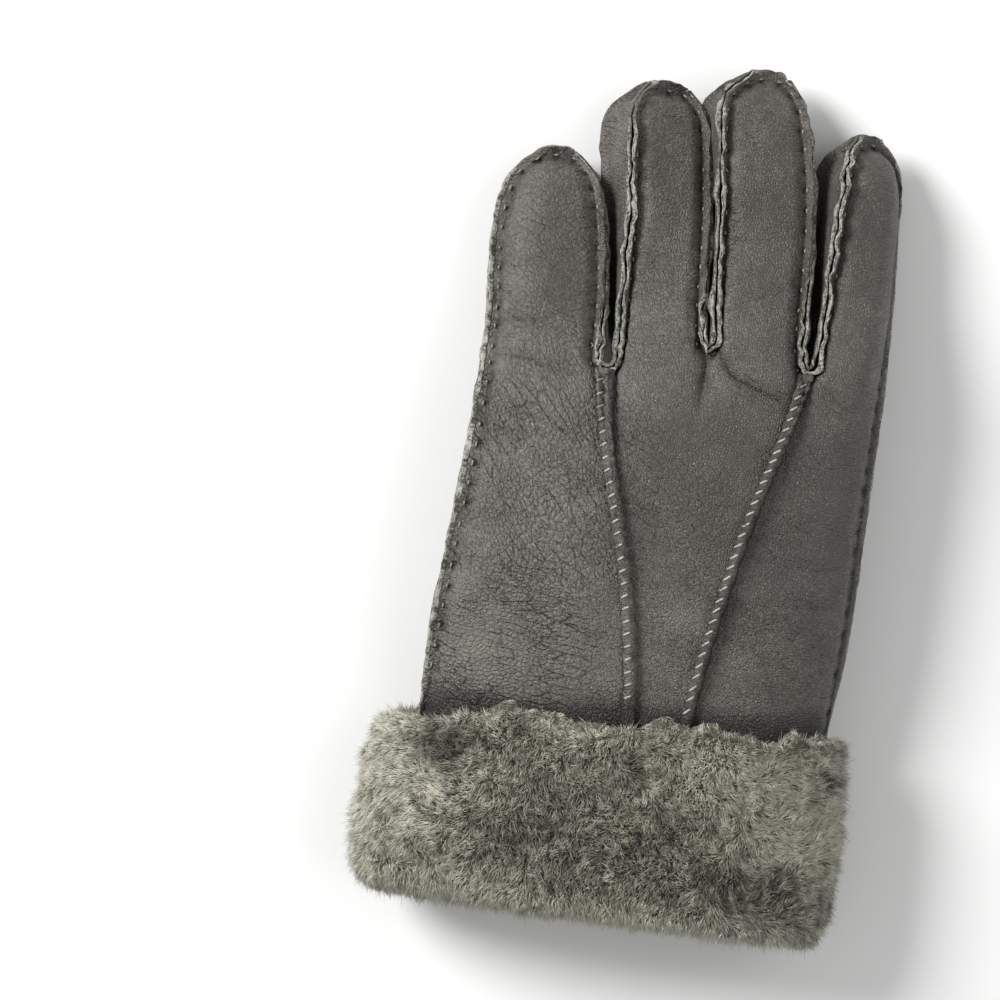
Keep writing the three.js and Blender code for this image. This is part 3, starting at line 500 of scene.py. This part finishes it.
def smooth_row(row, step):
    """A row of seam places, spaced evenly by a step in mm along a smooth curve through them."""
    places = []
    total = 0.0
    carried = 0.0
    for i in range(len(row) - 1):
        a, b, c, d = (row[min(max(i + k, 0), len(row) - 1)] for k in (-1, 0, 1, 2))
        span = (c["foot"] - b["foot"]).length
        if span < 1e-6:
            continue
        at = carried
        while at < span:
            t = at / span
            place = {key: curve(a[key], b[key], c[key], d[key], t) for key in ("foot", "top", "tip")}
            place["away"] = b["away"].lerp(c["away"], t).normalized()
            place["up"] = b["up"].lerp(c["up"], t).normalized()
            place["along"] = total + at
            places.append(place)
            at += step
        carried = at - span
        total += span
    for i, place in enumerate(places):
        before = places[max(i - 1, 0)]["foot"]
        after = places[min(i + 1, len(places) - 1)]["foot"]
        place["run"] = (after - before).normalized()
    return places


def clamp(t):
    """A number held between 0 and 1."""
    return min(max(t, 0.0), 1.0)


def curve(a, b, c, d, t):
    """A point at t between b and c, on a smooth curve through four."""
    return 0.5 * (2 * b + (c - a) * t + (2 * a - 5 * b + 4 * c - d) * t**2 + (3 * b - a - 3 * c + d) * t**3)


def tree_on(points):
    """A search tree of places, which gives their numbers."""
    tree = kdtree.KDTree(len(points))
    for i, p in enumerate(points):
        tree.insert(p, i)
    tree.balance()
    return tree


def read_floats(data, name, width=1):
    """One number, or a row of width numbers, of each item of a mesh's data."""
    values = np.empty(len(data) * width, dtype=np.float32)
    data.foreach_get(name, values)
    return values.reshape(-1, width) if width > 1 else values


def read_points(mesh):
    """The places of a mesh's points, in mm, and the ways that they face."""
    return read_floats(mesh.vertices, "co", 3) / MM, read_floats(mesh.vertices, "normal", 3)


def move_points(mesh, places):
    """Puts the points of a mesh at other places, in mm."""
    mesh.vertices.foreach_set("co", (places * MM).astype(np.float32).ravel())
    mesh.update()


def put_values(mesh, **layers):
    """Gives a mesh's points the values that its finish reads."""
    for name, values in layers.items():
        layer = mesh.attributes.get(name) or mesh.attributes.new(name, "FLOAT", "POINT")
        layer.data.foreach_set("value", np.ascontiguousarray(values, dtype=np.float32))


def subdivided(node, levels):
    """A fine copy of a solid's mesh. Its raw edges stay crisp and carry the value raw."""
    bm = merged(node)
    raw = bm.verts.layers.float.new("raw")
    crease = bm.edges.layers.float.new("crease_edge")
    for edge in edge_tops(bm):
        for vert in edge.verts:
            vert[raw] = 1.0
    for edge in bm.edges:
        if len(edge.link_faces) == 2 and edge.calc_face_angle(0) > SHARP:
            on_lip = all(v[raw] > 0 for v in edge.verts)
            edge[crease] = 0.55 if on_lip else 0.75
    mesh = mesh_from(bm, node + "_cage")
    cage = bpy.data.objects.new(node + "_cage", mesh)
    bpy.context.scene.collection.objects.link(cage)
    finer = cage.modifiers.new("finer", "SUBSURF")
    finer.levels = finer.render_levels = levels
    depsgraph = bpy.context.evaluated_depsgraph_get()
    fine = bpy.data.meshes.new_from_object(cage.evaluated_get(depsgraph))
    bpy.data.objects.remove(cage)
    bpy.data.meshes.remove(mesh)
    return fine


def is_tucked(p):
    """Whether a seam place is on the index finger's outer side, where the raw edge is folded under."""
    return p.x > TUCKED_X and p.y < TUCKED_Y


def crease_line(start, bend, end):
    """Points along a marked crease."""
    points = []
    for k in range(CREASE_STEPS + 1):
        t = k / CREASE_STEPS
        at = [(1 - t) ** 2 * a + 2 * t * (1 - t) * b + t * t * c for a, b, c in zip(start, bend, end)]
        points.append(Vector(at))
    return points


def crease_at(place, creases):
    """How far the creases press in at a place, its signed distance from the nearest one, and that one's weight."""
    pressed, gap, weight = 0.0, FAR, 0.0
    for depth, width, points in creases:
        if min((place - p).length for p in points[:: CREASE_STEPS // 2]) > FAR:
            continue
        near, at = FAR, 0.0
        for k, (a, b) in enumerate(zip(points, points[1:])):
            along = b - a
            t = clamp((place - a).dot(along) / along.length_squared)
            off = place - a - along * t
            if off.length < abs(near):
                near, at = math.copysign(off.length, along.cross(off)), (k + t) / CREASE_STEPS
        strength = depth * math.sin(math.pi * clamp(at)) ** 0.6
        pressed += strength * (
            math.exp(-((near / width) ** 2)) - 0.45 * math.exp(-(((abs(near) - 2.8) / 2.0) ** 2))
        )
        if abs(near) < abs(gap):
            gap, weight = near, min(strength * 1.2, 1.0) * math.exp(-((near / 3.2) ** 2))
    return pressed, gap, weight


def edge_step(p, place, raw, look):
    """How far a raw edge waves, spreads and rises at a place, in mm."""
    across = place["run"].cross(place["up"])
    if place["run"].y + 0.3 * place["run"].x < 0:
        across = -across
    wave = 0.75 * noise.noise(p * 0.16) + 0.55 * noise.noise(p * 0.40 + Vector((9, 2, 4)))
    spread = 0.22 + 0.4 * noise.noise(p * 0.3 + Vector((3, 7, 1)) + place["away"] * 5)
    rise = 0.8 * noise.noise(p * 0.35 + Vector((5, 5, 2)))
    step = across * wave * look.edge_wave + place["away"] * spread + place["up"] * rise
    if is_tucked(place["foot"]):
        step = step * 0.5 + Vector((-1.4, 0, -1.9)) * min((TUCKED_Y + 2 - p.y) / 12, 1.0)
    return step * raw**1.3


def dress_leather(node, levels, look, seams):
    """Swells a leather piece, draws it in at its seams and stitches, and lets its raw edges wave."""
    mesh = subdivided(node, levels)
    co, normals = read_points(mesh)
    raw = read_floats(mesh.attributes["raw"].data, "value")
    places = [place for row in seams[node] for place in smooth_row(row, SEAM_STEP)]
    tree = tree_on([place["foot"] for place in places])
    creases = [(depth, width, crease_line(*ends)) for *ends, depth, width in CREASES if node == "back_panel"]
    count = len(co)
    near, along, hollow, fold = np.zeros((4, count))
    fold_gap = np.full(count, FAR)
    across = np.ones(count)
    tone = patchwork(LEATHER_LIGHT_PATCHES, co[:, 0], co[:, 1])
    moved = co.copy()
    for i in range(count):
        p = Vector(co[i])
        n = Vector(normals[i])
        _, index, distance = tree.find(p)
        place = places[index]
        near[i] = distance
        along[i] = place["along"] + (p - place["foot"]).dot(place["run"])
        if raw[i] > 0.02:
            across[i] = clamp((p - place["tip"]).dot(place["away"]) / 1.2)
            # Painted light: the outer seam's raw edge is made lighter, as it faces away from the key light.
            tone[i] += 0.7 if place["foot"].x < OUTER_X else 0.0
            moved[i] = p + edge_step(p, place, raw[i], look)
            continue
        free = clamp((distance - 1.2) / 3.5)
        swell = look.swell * (noise.noise(p * 0.05 + Vector((1, 4, 2))) * 0.9 + noise.noise(p * 0.13) * 0.4)
        swell += 0.16 * noise.noise(p * 0.33)
        puff = 0.45 * math.exp(-(((distance - 4.5) / 2.6) ** 2))
        stitch = math.cos(2 * math.pi * along[i] / STITCH_PITCH) if node in RUNNING else 0.0
        draw = math.exp(-((distance / 2.3) ** 2)) * (0.28 + 0.34 * max(stitch, 0.0))
        draw += math.exp(-((distance / 5.5) ** 2)) * 0.12 * stitch
        pressed, fold_gap[i], fold[i] = crease_at(p.xy, creases) if n.z > 0.2 else (0.0, FAR, 0.0)
        # Painted shade: darker in the creases, along the foot of each seam (widest where the index finger's edge is
        # folded under) and in the pit at each stitch.
        pit = max(stitch, 0.0) ** 3 * math.exp(-(((distance - 0.3) / 1.2) ** 2))
        foot = math.exp(-((distance / (1.6 if is_tucked(place["foot"]) else 0.9)) ** 2))
        dark = 0.2 if place["foot"].x < OUTER_X else 0.36
        hollow[i] = min(max(pressed * 0.25, 0.0), 0.4) + dark * foot + 0.9 * pit
        moved[i] = p + n * (free * (swell + puff - pressed) - draw * look.pucker * min(distance / 0.4, 1.0))
    moved[:, 2] = np.maximum(moved[:, 2], LOWEST)
    move_points(mesh, moved)
    put_values(mesh, seam_near=near, seam_along=along, across=across, hollow=np.clip(hollow, 0, 1))
    put_values(mesh, tone=tone, fold=fold, fold_gap=fold_gap)
    return mesh


def dress_ridge(node, plan, stations):
    """Rounds a ridge, pinches it under each stitch, and paints shade at its feet and at each pinch."""
    mesh = subdivided(node, RIDGE_LEVELS)
    co, normals = read_points(mesh)
    tree = tree_on([p for p, _, _ in stations])
    first, last = plan["reach"]
    pinched, aside = np.zeros((2, len(co)))
    for i, (x, y, _) in enumerate(co):
        for centre, index, _ in tree.find_n((x, y, 0), 3):
            off = Vector((x, y, 0)) - centre
            _, run, outward = stations[index]
            across = off.dot(outward)
            beside = off.dot(run) - plan["slant"] * (0.5 - (across - first) / (last - first))
            pinched[i] = max(pinched[i], math.exp(-((beside / 0.75) ** 2)))
        centre, index, _ = tree.find((x, y, 0))
        aside[i] = (Vector((x, y, 0)) - centre).dot(stations[index][2]) / plan["half"]
    moved = co - normals * (pinched * 0.75 - 0.60)[:, None]
    # Painted shade: a near-black line at the foot on the index finger's side, away from the key light, a fainter one
    # at the other foot, and shade at each pinch.
    feet = 1.2 * np.clip((-aside - 0.66) / 0.16, 0, 1) + 0.7 * np.clip((aside - 0.80) / 0.15, 0, 1)
    tone = patchwork(LEATHER_LIGHT_PATCHES, co[:, 0], co[:, 1]) + plan["tone"]
    move_points(mesh, moved)
    put_values(mesh, raw=np.zeros(len(co)), across=np.ones(len(co)), seam_near=np.full(len(co), FAR))
    put_values(mesh, seam_along=co[:, 1], hollow=np.clip(feet + pinched * 0.30, 0, 1), tone=tone)
    return mesh


def patchwork(patches, x, y):
    """The sum of soft light and dark patches at places seen from above, in mm."""
    total = 0.0
    for at_x, at_y, wide, high, tone in patches:
        total = total + tone * np.exp(-(((x - at_x) / wide) ** 2 + ((y - at_y) / high) ** 2))
    return total


def route_stations(route, pitch):
    """Places down a flat route, evenly spaced, each with its run and the way to the little finger's side."""
    points = [Vector((x, y, 0)) for x, y in route]
    stations = []
    carried = pitch * 0.5
    for i in range(len(points) - 1):
        a, b, c, d = (points[min(max(i + k, 0), len(points) - 1)] for k in (-1, 0, 1, 2))
        span = (c - b).length
        at = carried
        while at < span:
            p = curve(a, b, c, d, at / span)
            run = (c - b).normalized()
            stations.append((p, run, Vector((run.y, -run.x, 0))))
            at += pitch
        carried = at - span
    return stations


def lay_thread(bm, points, radius, sides=6):
    """One short thread through a few points in mm: a tube with round ends."""
    rings = []
    for i, p in enumerate(points):
        run = (points[min(i + 1, len(points) - 1)] - points[max(i - 1, 0)]).normalized()
        side = run.cross(Vector((0.3, 0.2, 1))).normalized()
        other = run.cross(side)
        thick = radius * (0.55 if i in (0, len(points) - 1) else 1.0)
        ring = bmesh.ops.create_circle(bm, cap_ends=False, radius=thick * MM, segments=sides)["verts"]
        for vert in ring:
            x, y, _ = vert.co
            vert.co = p * MM + side * x + other * y
        rings.append(ring)
    for first, second in zip(rings, rings[1:]):
        for k in range(sides):
            j = (k + 1) % sides
            bm.faces.new((first[k], first[j], second[j], second[k]))
    bm.faces.new(list(reversed(rings[0])))
    bm.faces.new(rings[-1])


def tree_of(*pieces):
    """A ray target made of whole pieces."""
    bm = bmesh.new()
    for piece in pieces:
        bm.from_mesh(piece.data)
    tree = BVHTree.FromBMesh(bm)
    bm.free()
    return tree


def drop(tree, x, y):
    """The height of the surface below a place, in mm."""
    hit, _, _, _ = tree.ray_cast(Vector((x, y, 90)) * MM, Vector((0, 0, -1)))
    return hit.z / MM


def paint(name, description, default):
    """A colour that a user may change."""
    return bpy.props.FloatVectorProperty(name=name, description=description, subtype="COLOR", default=default)


def amount(name, description, default, low, high, subtype="NONE"):
    """A number that a user may change."""
    kind = {"default": default, "min": low, "max": high, "subtype": subtype}
    return bpy.props.FloatProperty(name=name, description=description, **kind)


class LeatherLook(bpy.types.PropertyGroup):
    """How the leather looks."""

    pale: paint("Pale leather", "Colour of the worn leather", (0.185, 0.170, 0.149))
    dark: paint("Dark leather", "Colour of its darker clouds", (0.080, 0.073, 0.064))
    # Painted shade: the near-black colour laid in the wrinkles, creases, seam feet, pits and the shadow at the cuff.
    crease: paint("Creases", "Colour in the creases", (0.026, 0.023, 0.020))
    cut: paint("Cut edge", "Colour of the raw edges", (0.50, 0.495, 0.435))
    cut_dark: paint("Cut edge, deep", "Darker fibres in them", (0.055, 0.053, 0.045))
    wrinkle_depth: amount("Wrinkle depth", "Of the net of wrinkles, in mm", 0.42, 0.0, 1.0)
    grain_depth: amount("Grain depth", "Of the pebbles between them, in mm", 0.23, 0.0, 1.0)
    swell: amount("Swell", "Soft dents, in mm", 0.75, 0.0, 3.0)
    pucker: amount("Pucker", "How hard the stitches pull", 1.0, 0.0, 2.0, "FACTOR")
    edge_wave: amount("Edge wave", "How much the raw edges wave", 1.8, 0.0, 3.0)
    levels: bpy.props.IntProperty(name="Detail", description="Subdivisions of the back", default=3, min=1, max=3)


class ThreadLook(bpy.types.PropertyGroup):
    """How the stitches look."""

    pale: paint("Thread", "Colour of the thread", (0.60, 0.585, 0.52))
    # Painted shade: the deep colours darken the threads in the grooves of their twist.
    dark: paint("Thread, deep", "Colour in its twist", (0.26, 0.25, 0.21))
    # Painted shade: the running stitches' thread is painted darker than the whip stitches', as shade in the seam's
    # pits.
    seam: paint("Seam thread", "Colour of the running stitches", (0.42, 0.405, 0.35))
    seam_dark: paint("Seam thread, deep", "Colour in its twist", (0.16, 0.15, 0.125))
    radius: amount("Radius", "In mm", 0.37, 0.1, 1.0)


class WoolLook(bpy.types.PropertyGroup):
    """How the cuff's wool looks."""

    # Painted light on the tips, and painted shade in the deep colour between the clumps and at the roots.
    tip: paint("Tips", "Colour of the strands' tips", (0.74, 0.72, 0.60))
    mid: paint("Wool", "Colour halfway", (0.33, 0.32, 0.25))
    deep: paint("Deep wool", "Colour between the clumps", (0.050, 0.045, 0.031))
    strands: bpy.props.IntProperty(
        name="Strands", description="Strands in each part of the wool", default=41000, min=100, max=49000
    )
    length: amount("Length", "Of a strand, in mm", 3.4, 1.0, 12.0)
    radius: amount("Radius", "Of a strand, in mm", 0.16, 0.02, 0.5)
    tufts: bpy.props.IntProperty(name="Tufts", description="How many tufts", default=8000, min=50, max=20000)
    tufting: amount("Tufting", "How far tips gather", 0.38, 0.0, 1.0, "FACTOR")
    seed: bpy.props.IntProperty(name="Seed", description="Of the scatter", default=11)


class StageLook(bpy.types.PropertyGroup):
    """The floor, the lights and the camera."""

    floor: paint("Floor", "Colour of the floor", (0.95, 0.95, 0.945))
    height: bpy.props.FloatProperty(
        name="Camera height", description="Above the floor", subtype="DISTANCE", default=1.6, min=0.3
    )
    aim_x: bpy.props.FloatProperty(name="Aim X", description="What it looks at", subtype="DISTANCE", default=-0.044)
    aim_y: bpy.props.FloatProperty(name="Aim Y", description="What it looks at", subtype="DISTANCE", default=-0.0095)
    span: bpy.props.FloatProperty(
        name="Span", description="Width of the view at the glove", subtype="DISTANCE", default=0.310, min=0.05
    )
    roll: bpy.props.FloatProperty(
        name="Roll", description="Turn of the view", subtype="ANGLE", default=math.radians(8)
    )
    key: bpy.props.FloatProperty(name="Key light", description="Watts", default=60.0, min=0.0)
    fill: bpy.props.FloatProperty(name="Fill light", description="Watts", default=7.0, min=0.0)
    sky: bpy.props.FloatProperty(name="Sky", description="Strength of the light from all round", default=0.38, min=0.0)


class GLOVE_OT_leather(bpy.types.Operator):
    """Dress the back, the palm, the side walls and the thumb"""

    bl_idname = "glove.leather"
    bl_label = "Leather"

    def execute(self, context):
        look = context.scene.glove_leather
        seams = read_seams()
        for slot, nodes in LEATHER.items():
            finish = leather_finish("grained_" + slot, look)
            for node in nodes:
                levels = look.levels if node == "back_panel" else SMOOTH_LEVELS
                wrap(new_object("leather_" + node, dress_leather(node, levels, look, seams), finish), slot, node)
        return {"FINISHED"}


class GLOVE_OT_ridges(bpy.types.Operator):
    """Dress the two ridges on the back and lay their whip stitches"""

    bl_idname = "glove.ridges"
    bl_label = "Ridges"

    def execute(self, context):
        look = context.scene.glove_leather
        thread = context.scene.glove_thread
        finish = leather_finish("grained_ridge_leather", look)
        bm = bmesh.new()
        for node, plan in RIDGES.items():
            stations = route_stations(plan["route"], plan["pitch"])
            piece = new_object(plan["piece"], dress_ridge(node, plan, stations), finish)
            wrap(piece, "ridge_leather", node)
            tree = tree_of(piece, bpy.data.objects["leather_back_panel"])
            first, last = plan["reach"]
            for p, run, outward in stations:
                if p.y < COVERED_Y:
                    continue
                uneven = noise.noise(p * 0.9)
                points = []
                for k in range(THREAD_STEPS + 1):
                    t = k / THREAD_STEPS
                    at = p + outward * (first + (last - first) * t) + run * plan["slant"] * (0.5 - t + 0.3 * uneven)
                    sunk = 0.25 if k in (0, THREAD_STEPS) else -0.12
                    points.append(Vector((at.x, at.y, drop(tree, at.x, at.y) - sunk)))
                lay_thread(bm, points, thread.radius)
        finish_threads("whip_stitches", bm, thread.pale, thread.dark)
        return {"FINISHED"}


class GLOVE_OT_stitches(bpy.types.Operator):
    """Lay the running stitches at the foot of the raw edges"""

    bl_idname = "glove.stitches"
    bl_label = "Running stitches"

    def execute(self, context):
        thread = context.scene.glove_thread
        seams = read_seams()
        bm = bmesh.new()
        for node, length in RUNNING.items():
            tree = tree_of(bpy.data.objects["leather_" + node])
            for row in seams[node]:
                for place in smooth_row(row, STITCH_PITCH):
                    tucked = node == "back_panel" and is_tucked(place["foot"])
                    if tucked or place["foot"].y < COVERED_Y:
                        continue
                    base = place["foot"].lerp(place["top"], 0.08) + place["away"] * 0.4
                    uneven = noise.noise(place["foot"] * 0.7)
                    half = place["run"] * length * (0.5 + 0.35 * uneven)
                    points = []
                    for k, t in enumerate((-1.0, -0.5, 0.5, 1.0)):
                        near, normal, _, _ = tree.find_nearest((base + half * t) * MM)
                        lift = -0.25 if k in (0, 3) else 0.12
                        points.append(near / MM + normal * lift)
                    lay_thread(bm, points, thread.radius * 0.85)
        # These thread colours hold painted shade.
        finish_threads("running_stitches", bm, thread.seam, thread.seam_dark)
        return {"FINISHED"}


def finish_threads(name, bm, pale, dark):
    """Makes one piece of all the threads of a kind."""
    bmesh.ops.recalc_face_normals(bm, faces=bm.faces)
    wrap(new_object(name, mesh_from(bm, name), thread_finish(name, pale, dark)), "ridge_leather")


def smooth(t):
    """A smoothed step from 0 to 1."""
    t = clamp(t)
    return t * t * (3 - 2 * t)


def wool_field(p, n):
    """The way that the wool lies at a place, as a unit vector along the surface, and how far it leans over."""
    swirl = 2.6 * noise.noise(p * 0.04 + Vector((2, 9, 0))) + 2.2 * noise.noise(p * 0.16 + Vector((7, 1, 3)))
    turn = -1.85 + swirl - 0.3 * math.tanh((p.x + 50) / 18) + 1.9 * smooth((p.x - 22) / 35)
    flat = Vector((math.cos(turn), math.sin(turn), -0.1))
    if p.y > RIM_Y:
        flat = flat.lerp(Vector((0.1 * swirl, 1.0, 0.2)), min((p.y - RIM_Y) / 5, 0.85))
    if p.y < MOUTH_Y:
        flat = flat.lerp(Vector((0.1 * swirl, -1.0, -0.1)), min((MOUTH_Y - p.y) / 6, 0.8))
    flat -= n * flat.dot(n)
    if flat.length < 0.05:
        flat = n.orthogonal()
    combed = smooth((abs(p.x + 5) - 32) / 25)
    return flat.normalized(), 0.46 + 0.30 * combed + 0.5 * noise.noise(p * 0.15)


def wool_weight(p, n, leather):
    """How thickly the wool grows at a place on the cuff, for the side that it faces."""
    hit, _, _, gap = leather.find_nearest(p * MM)
    toward = (hit / MM - p).normalized().dot(n)
    if gap < 5.5 * MM and toward > (0.35 if p.y < RIM_Y else 0.75) and p.y > -116:
        return 0.0  # pressed on the leather
    if p.y > RIM_Y - 1:
        return 1.6  # the rim
    if p.z < 3 and n.z < -0.5:
        return 0.1  # pressed on the table
    if n.z < -0.3:
        return 0.5  # the underside
    if abs(p.x) < 56 and 12 < p.z < 37 and p.y > -128:
        return 0.3  # inside the mouth
    return 1.5 if p.z > 28 else 1.0


class GLOVE_OT_wool(bpy.types.Operator):
    """Cover the turned-back cuff with tufted wool"""

    bl_idname = "glove.wool"
    bl_label = "Wool cuff"

    def execute(self, context):
        look = context.scene.glove_wool
        mesh = subdivided("shearling_cuff", SMOOTH_LEVELS)
        self.draw_in(mesh, look)
        core = new_object("wool_core", mesh, wool_finish("wool_core", look, True))
        wrap(core, "wool", "shearling_cuff")
        finish = wool_finish("wool_strands", look, False)
        rng = np.random.default_rng(look.seed)
        roots, normals = self.scatter(mesh, look, rng)
        tips, shades = self.comb(roots, normals, look, rng)
        count = look.strands
        for part in range(WOOL_PARTS):
            span = slice(part * count, (part + 1) * count)
            name = "wool_%d" % (part + 1)
            strands = strand_mesh(name, roots[span], tips[span], shades[span], look.radius)
            wrap(new_object(name, strands, finish), "wool")
        return {"FINISHED"}

    def draw_in(self, mesh, look):
        """Draws the wool's body in under its strands, with hollows between tufts."""
        co, normals = read_points(mesh)
        moved = co.copy()
        for i in range(len(co)):
            p = Vector(co[i])
            depth = look.length * 0.45 + 0.8 * noise.noise(p * 0.2) + 0.4 * noise.noise(p * 0.5)
            inside = clamp((p.z - 0.5) / 3.0)
            moved[i] = p - Vector(normals[i]) * max(depth, 0.0) * inside
        moved[:, 2] = np.maximum(moved[:, 2], 0.0)
        move_points(mesh, moved)

    def scatter(self, mesh, look, rng):
        """Root places of the strands, spread by area over the wool that shows."""
        leather = tree_of(*(bpy.data.objects["leather_" + node] for node in PANELS))
        mesh.calc_loop_triangles()
        corners, _ = read_points(mesh)
        picks = np.empty(len(mesh.loop_triangles) * 3, dtype=np.int32)
        mesh.loop_triangles.foreach_get("vertices", picks)
        a, b, c = (corners[picks.reshape(-1, 3)[:, k]] for k in range(3))
        cross = np.cross(b - a, c - a)
        area = np.linalg.norm(cross, axis=1) / 2
        facing = cross / np.maximum(2 * area, 1e-9)[:, None]
        middle = (a + b + c) / 3
        weight = [wool_weight(Vector(p), Vector(n), leather) for p, n in zip(middle, facing)]
        chance = area * weight
        total = look.strands * WOOL_PARTS
        chosen = rng.choice(len(area), size=total, p=chance / chance.sum())
        u, v = rng.random(total), rng.random(total)
        over = u + v > 1
        u[over], v[over] = 1 - u[over], 1 - v[over]
        roots = a[chosen] + (b - a)[chosen] * u[:, None] + (c - a)[chosen] * v[:, None]
        return roots, facing[chosen]

    def comb(self, roots, normals, look, rng):
        """Bends the strands over, and draws their tips together into tufts."""
        total = len(roots)
        leads = rng.choice(total, size=look.tufts, replace=False)
        tree = tree_on([Vector(roots[i]) for i in leads])
        heads = []
        for i in leads:
            p, n = Vector(roots[i]), Vector(normals[i])
            flat, lean = wool_field(p, n)
            sway = Vector(rng.normal(0, 0.30, 3))
            length = look.length * (0.85 + 0.35 * rng.random())
            head = p + (n * math.cos(lean) + (flat + sway) * math.sin(lean)).normalized() * length
            heads.append((head, rng.random()))
        tips = np.empty_like(roots)
        shades = np.empty(total)
        stray = rng.normal(0, 1, (total, 3))
        spread = rng.random((total, 4))
        tones = 0.04 + patchwork(WOOL_PATCHES, roots[:, 0], roots[:, 1])
        for i in range(total):
            p, n = Vector(roots[i]), Vector(normals[i])
            flat, lean = wool_field(p, n)
            loose = spread[i, 3] > 0.97
            length = look.length * (0.6 + 0.55 * spread[i, 0]) * (0.8 if p.y > -76 else 1.15 if loose else 1.0)
            own = p + (n * math.cos(lean) + flat * math.sin(lean) + Vector(stray[i]) * 0.38) * length
            _, k, _ = tree.find(p)
            head, tone = heads[k]
            tip = own.lerp(head, 0.0 if loose else look.tufting * (0.4 + 0.9 * spread[i, 1]))
            tip.z = max(tip.z, 0.25)
            tips[i] = tip
            shades[i] = 0.42 * tone + 0.62 * spread[i, 2] + tones[i]
        return tips, shades


def strand_mesh(name, roots, tips, shades, radius):
    """Closed three-sided strands that taper to a point, joined from arrays."""
    count = len(roots)
    run = tips - roots
    run /= np.maximum(np.linalg.norm(run, axis=1), 1e-6)[:, None]
    side = np.cross(run, np.array([0.31, 0.17, 0.94]))
    side /= np.maximum(np.linalg.norm(side, axis=1), 1e-6)[:, None]
    other = np.cross(run, side)
    vertices = np.empty((count, 4, 3))
    for k in range(3):
        angle = 2 * math.pi * k / 3
        vertices[:, k] = roots + (side * math.cos(angle) + other * math.sin(angle)) * radius
    vertices[:, 3] = tips
    faces = np.array([(2, 1, 0), (0, 1, 3), (1, 2, 3), (2, 0, 3)])
    index = (faces[None] + 4 * np.arange(count)[:, None, None]).reshape(-1)
    mesh = bpy.data.meshes.new(name)
    mesh.vertices.add(count * 4)
    mesh.vertices.foreach_set("co", (vertices * MM).astype(np.float32).ravel())
    mesh.loops.add(len(index))
    mesh.loops.foreach_set("vertex_index", index.astype(np.int32))
    mesh.polygons.add(len(index) // 3)
    mesh.polygons.foreach_set("loop_start", np.arange(0, len(index), 3, dtype=np.int32))
    mesh.update(calc_edges=True)
    mesh.validate()
    put_values(mesh, along=np.tile([0, 0, 0, 1.0], count), shade=np.repeat(shades, 4))
    return mesh


class GLOVE_OT_stage(bpy.types.Operator):
    """Make the floor, the lights and the camera"""

    bl_idname = "glove.stage"
    bl_label = "Stage"

    def execute(self, context):
        look = context.scene.glove_stage
        bm = bmesh.new()
        bmesh.ops.create_grid(bm, x_segments=1, y_segments=1, size=FLOOR_HALF)
        floor = new_object("studio_floor", mesh_from(bm, "studio_floor"), floor_finish(look))
        self.light("key_light", (-1.7, 0.75, 1.4), 1.0, look.key)
        self.light("fill_light", (1.1, 0.1, 1.3), 1.6, look.fill)
        world = bpy.data.worlds.new("studio")
        world.use_nodes = True
        world.node_tree.nodes["Background"].inputs["Color"].default_value = (1, 1, 1, 1)
        world.node_tree.nodes["Background"].inputs["Strength"].default_value = look.sky
        context.scene.world = world
        context.scene.view_settings.view_transform = "Standard"
        data = bpy.data.cameras.new("photo_camera")
        data.sensor_width = SENSOR
        data.lens = SENSOR * (look.height - VIEW_Z) / look.span
        data.clip_start, data.clip_end = 0.1, 10.0
        camera = bpy.data.objects.new("photo_camera", data)
        camera.location = (look.aim_x, look.aim_y, look.height)
        camera.rotation_euler = (0, 0, look.roll)
        context.scene.collection.objects.link(camera)
        context.scene.camera = camera
        return {"FINISHED"}

    def light(self, name, place, size, power):
        data = bpy.data.lights.new(name, "AREA")
        data.shape = "DISK"
        data.size = size
        data.energy = power
        lamp = bpy.data.objects.new(name, data)
        lamp.location = place
        lamp.rotation_euler = (-Vector(place)).to_track_quat("-Z", "Y").to_euler()
        bpy.context.scene.collection.objects.link(lamp)


OPERATORS = (GLOVE_OT_stage, GLOVE_OT_leather, GLOVE_OT_ridges, GLOVE_OT_stitches, GLOVE_OT_wool)
LOOKS = {"glove_leather": LeatherLook, "glove_thread": ThreadLook, "glove_wool": WoolLook, "glove_stage": StageLook}


class GLOVE_PT_panel(bpy.types.Panel):
    """Lists what dresses the glove"""

    bl_label = "Shearling Glove"
    bl_space_type = "VIEW_3D"
    bl_region_type = "UI"
    bl_category = "Glove"

    def draw(self, context):
        for name, look in LOOKS.items():
            box = self.layout.box()
            for prop in look.__annotations__:
                box.prop(getattr(context.scene, name), prop)
        for operator in OPERATORS:
            self.layout.operator(operator.bl_idname)


def register():
    for cls in (*LOOKS.values(), *OPERATORS, GLOVE_PT_panel):
        bpy.utils.register_class(cls)
    for name, look in LOOKS.items():
        setattr(bpy.types.Scene, name, bpy.props.PointerProperty(type=look))


def unregister():
    for name in LOOKS:
        delattr(bpy.types.Scene, name)
    for cls in reversed((*LOOKS.values(), *OPERATORS, GLOVE_PT_panel)):
        bpy.utils.unregister_class(cls)


def main():
    register()
    bpy.ops.glove.stage()
    bpy.ops.glove.leather()
    bpy.ops.glove.ridges()
    bpy.ops.glove.stitches()
    bpy.ops.glove.wool()


if __name__ == "__main__":
    main()
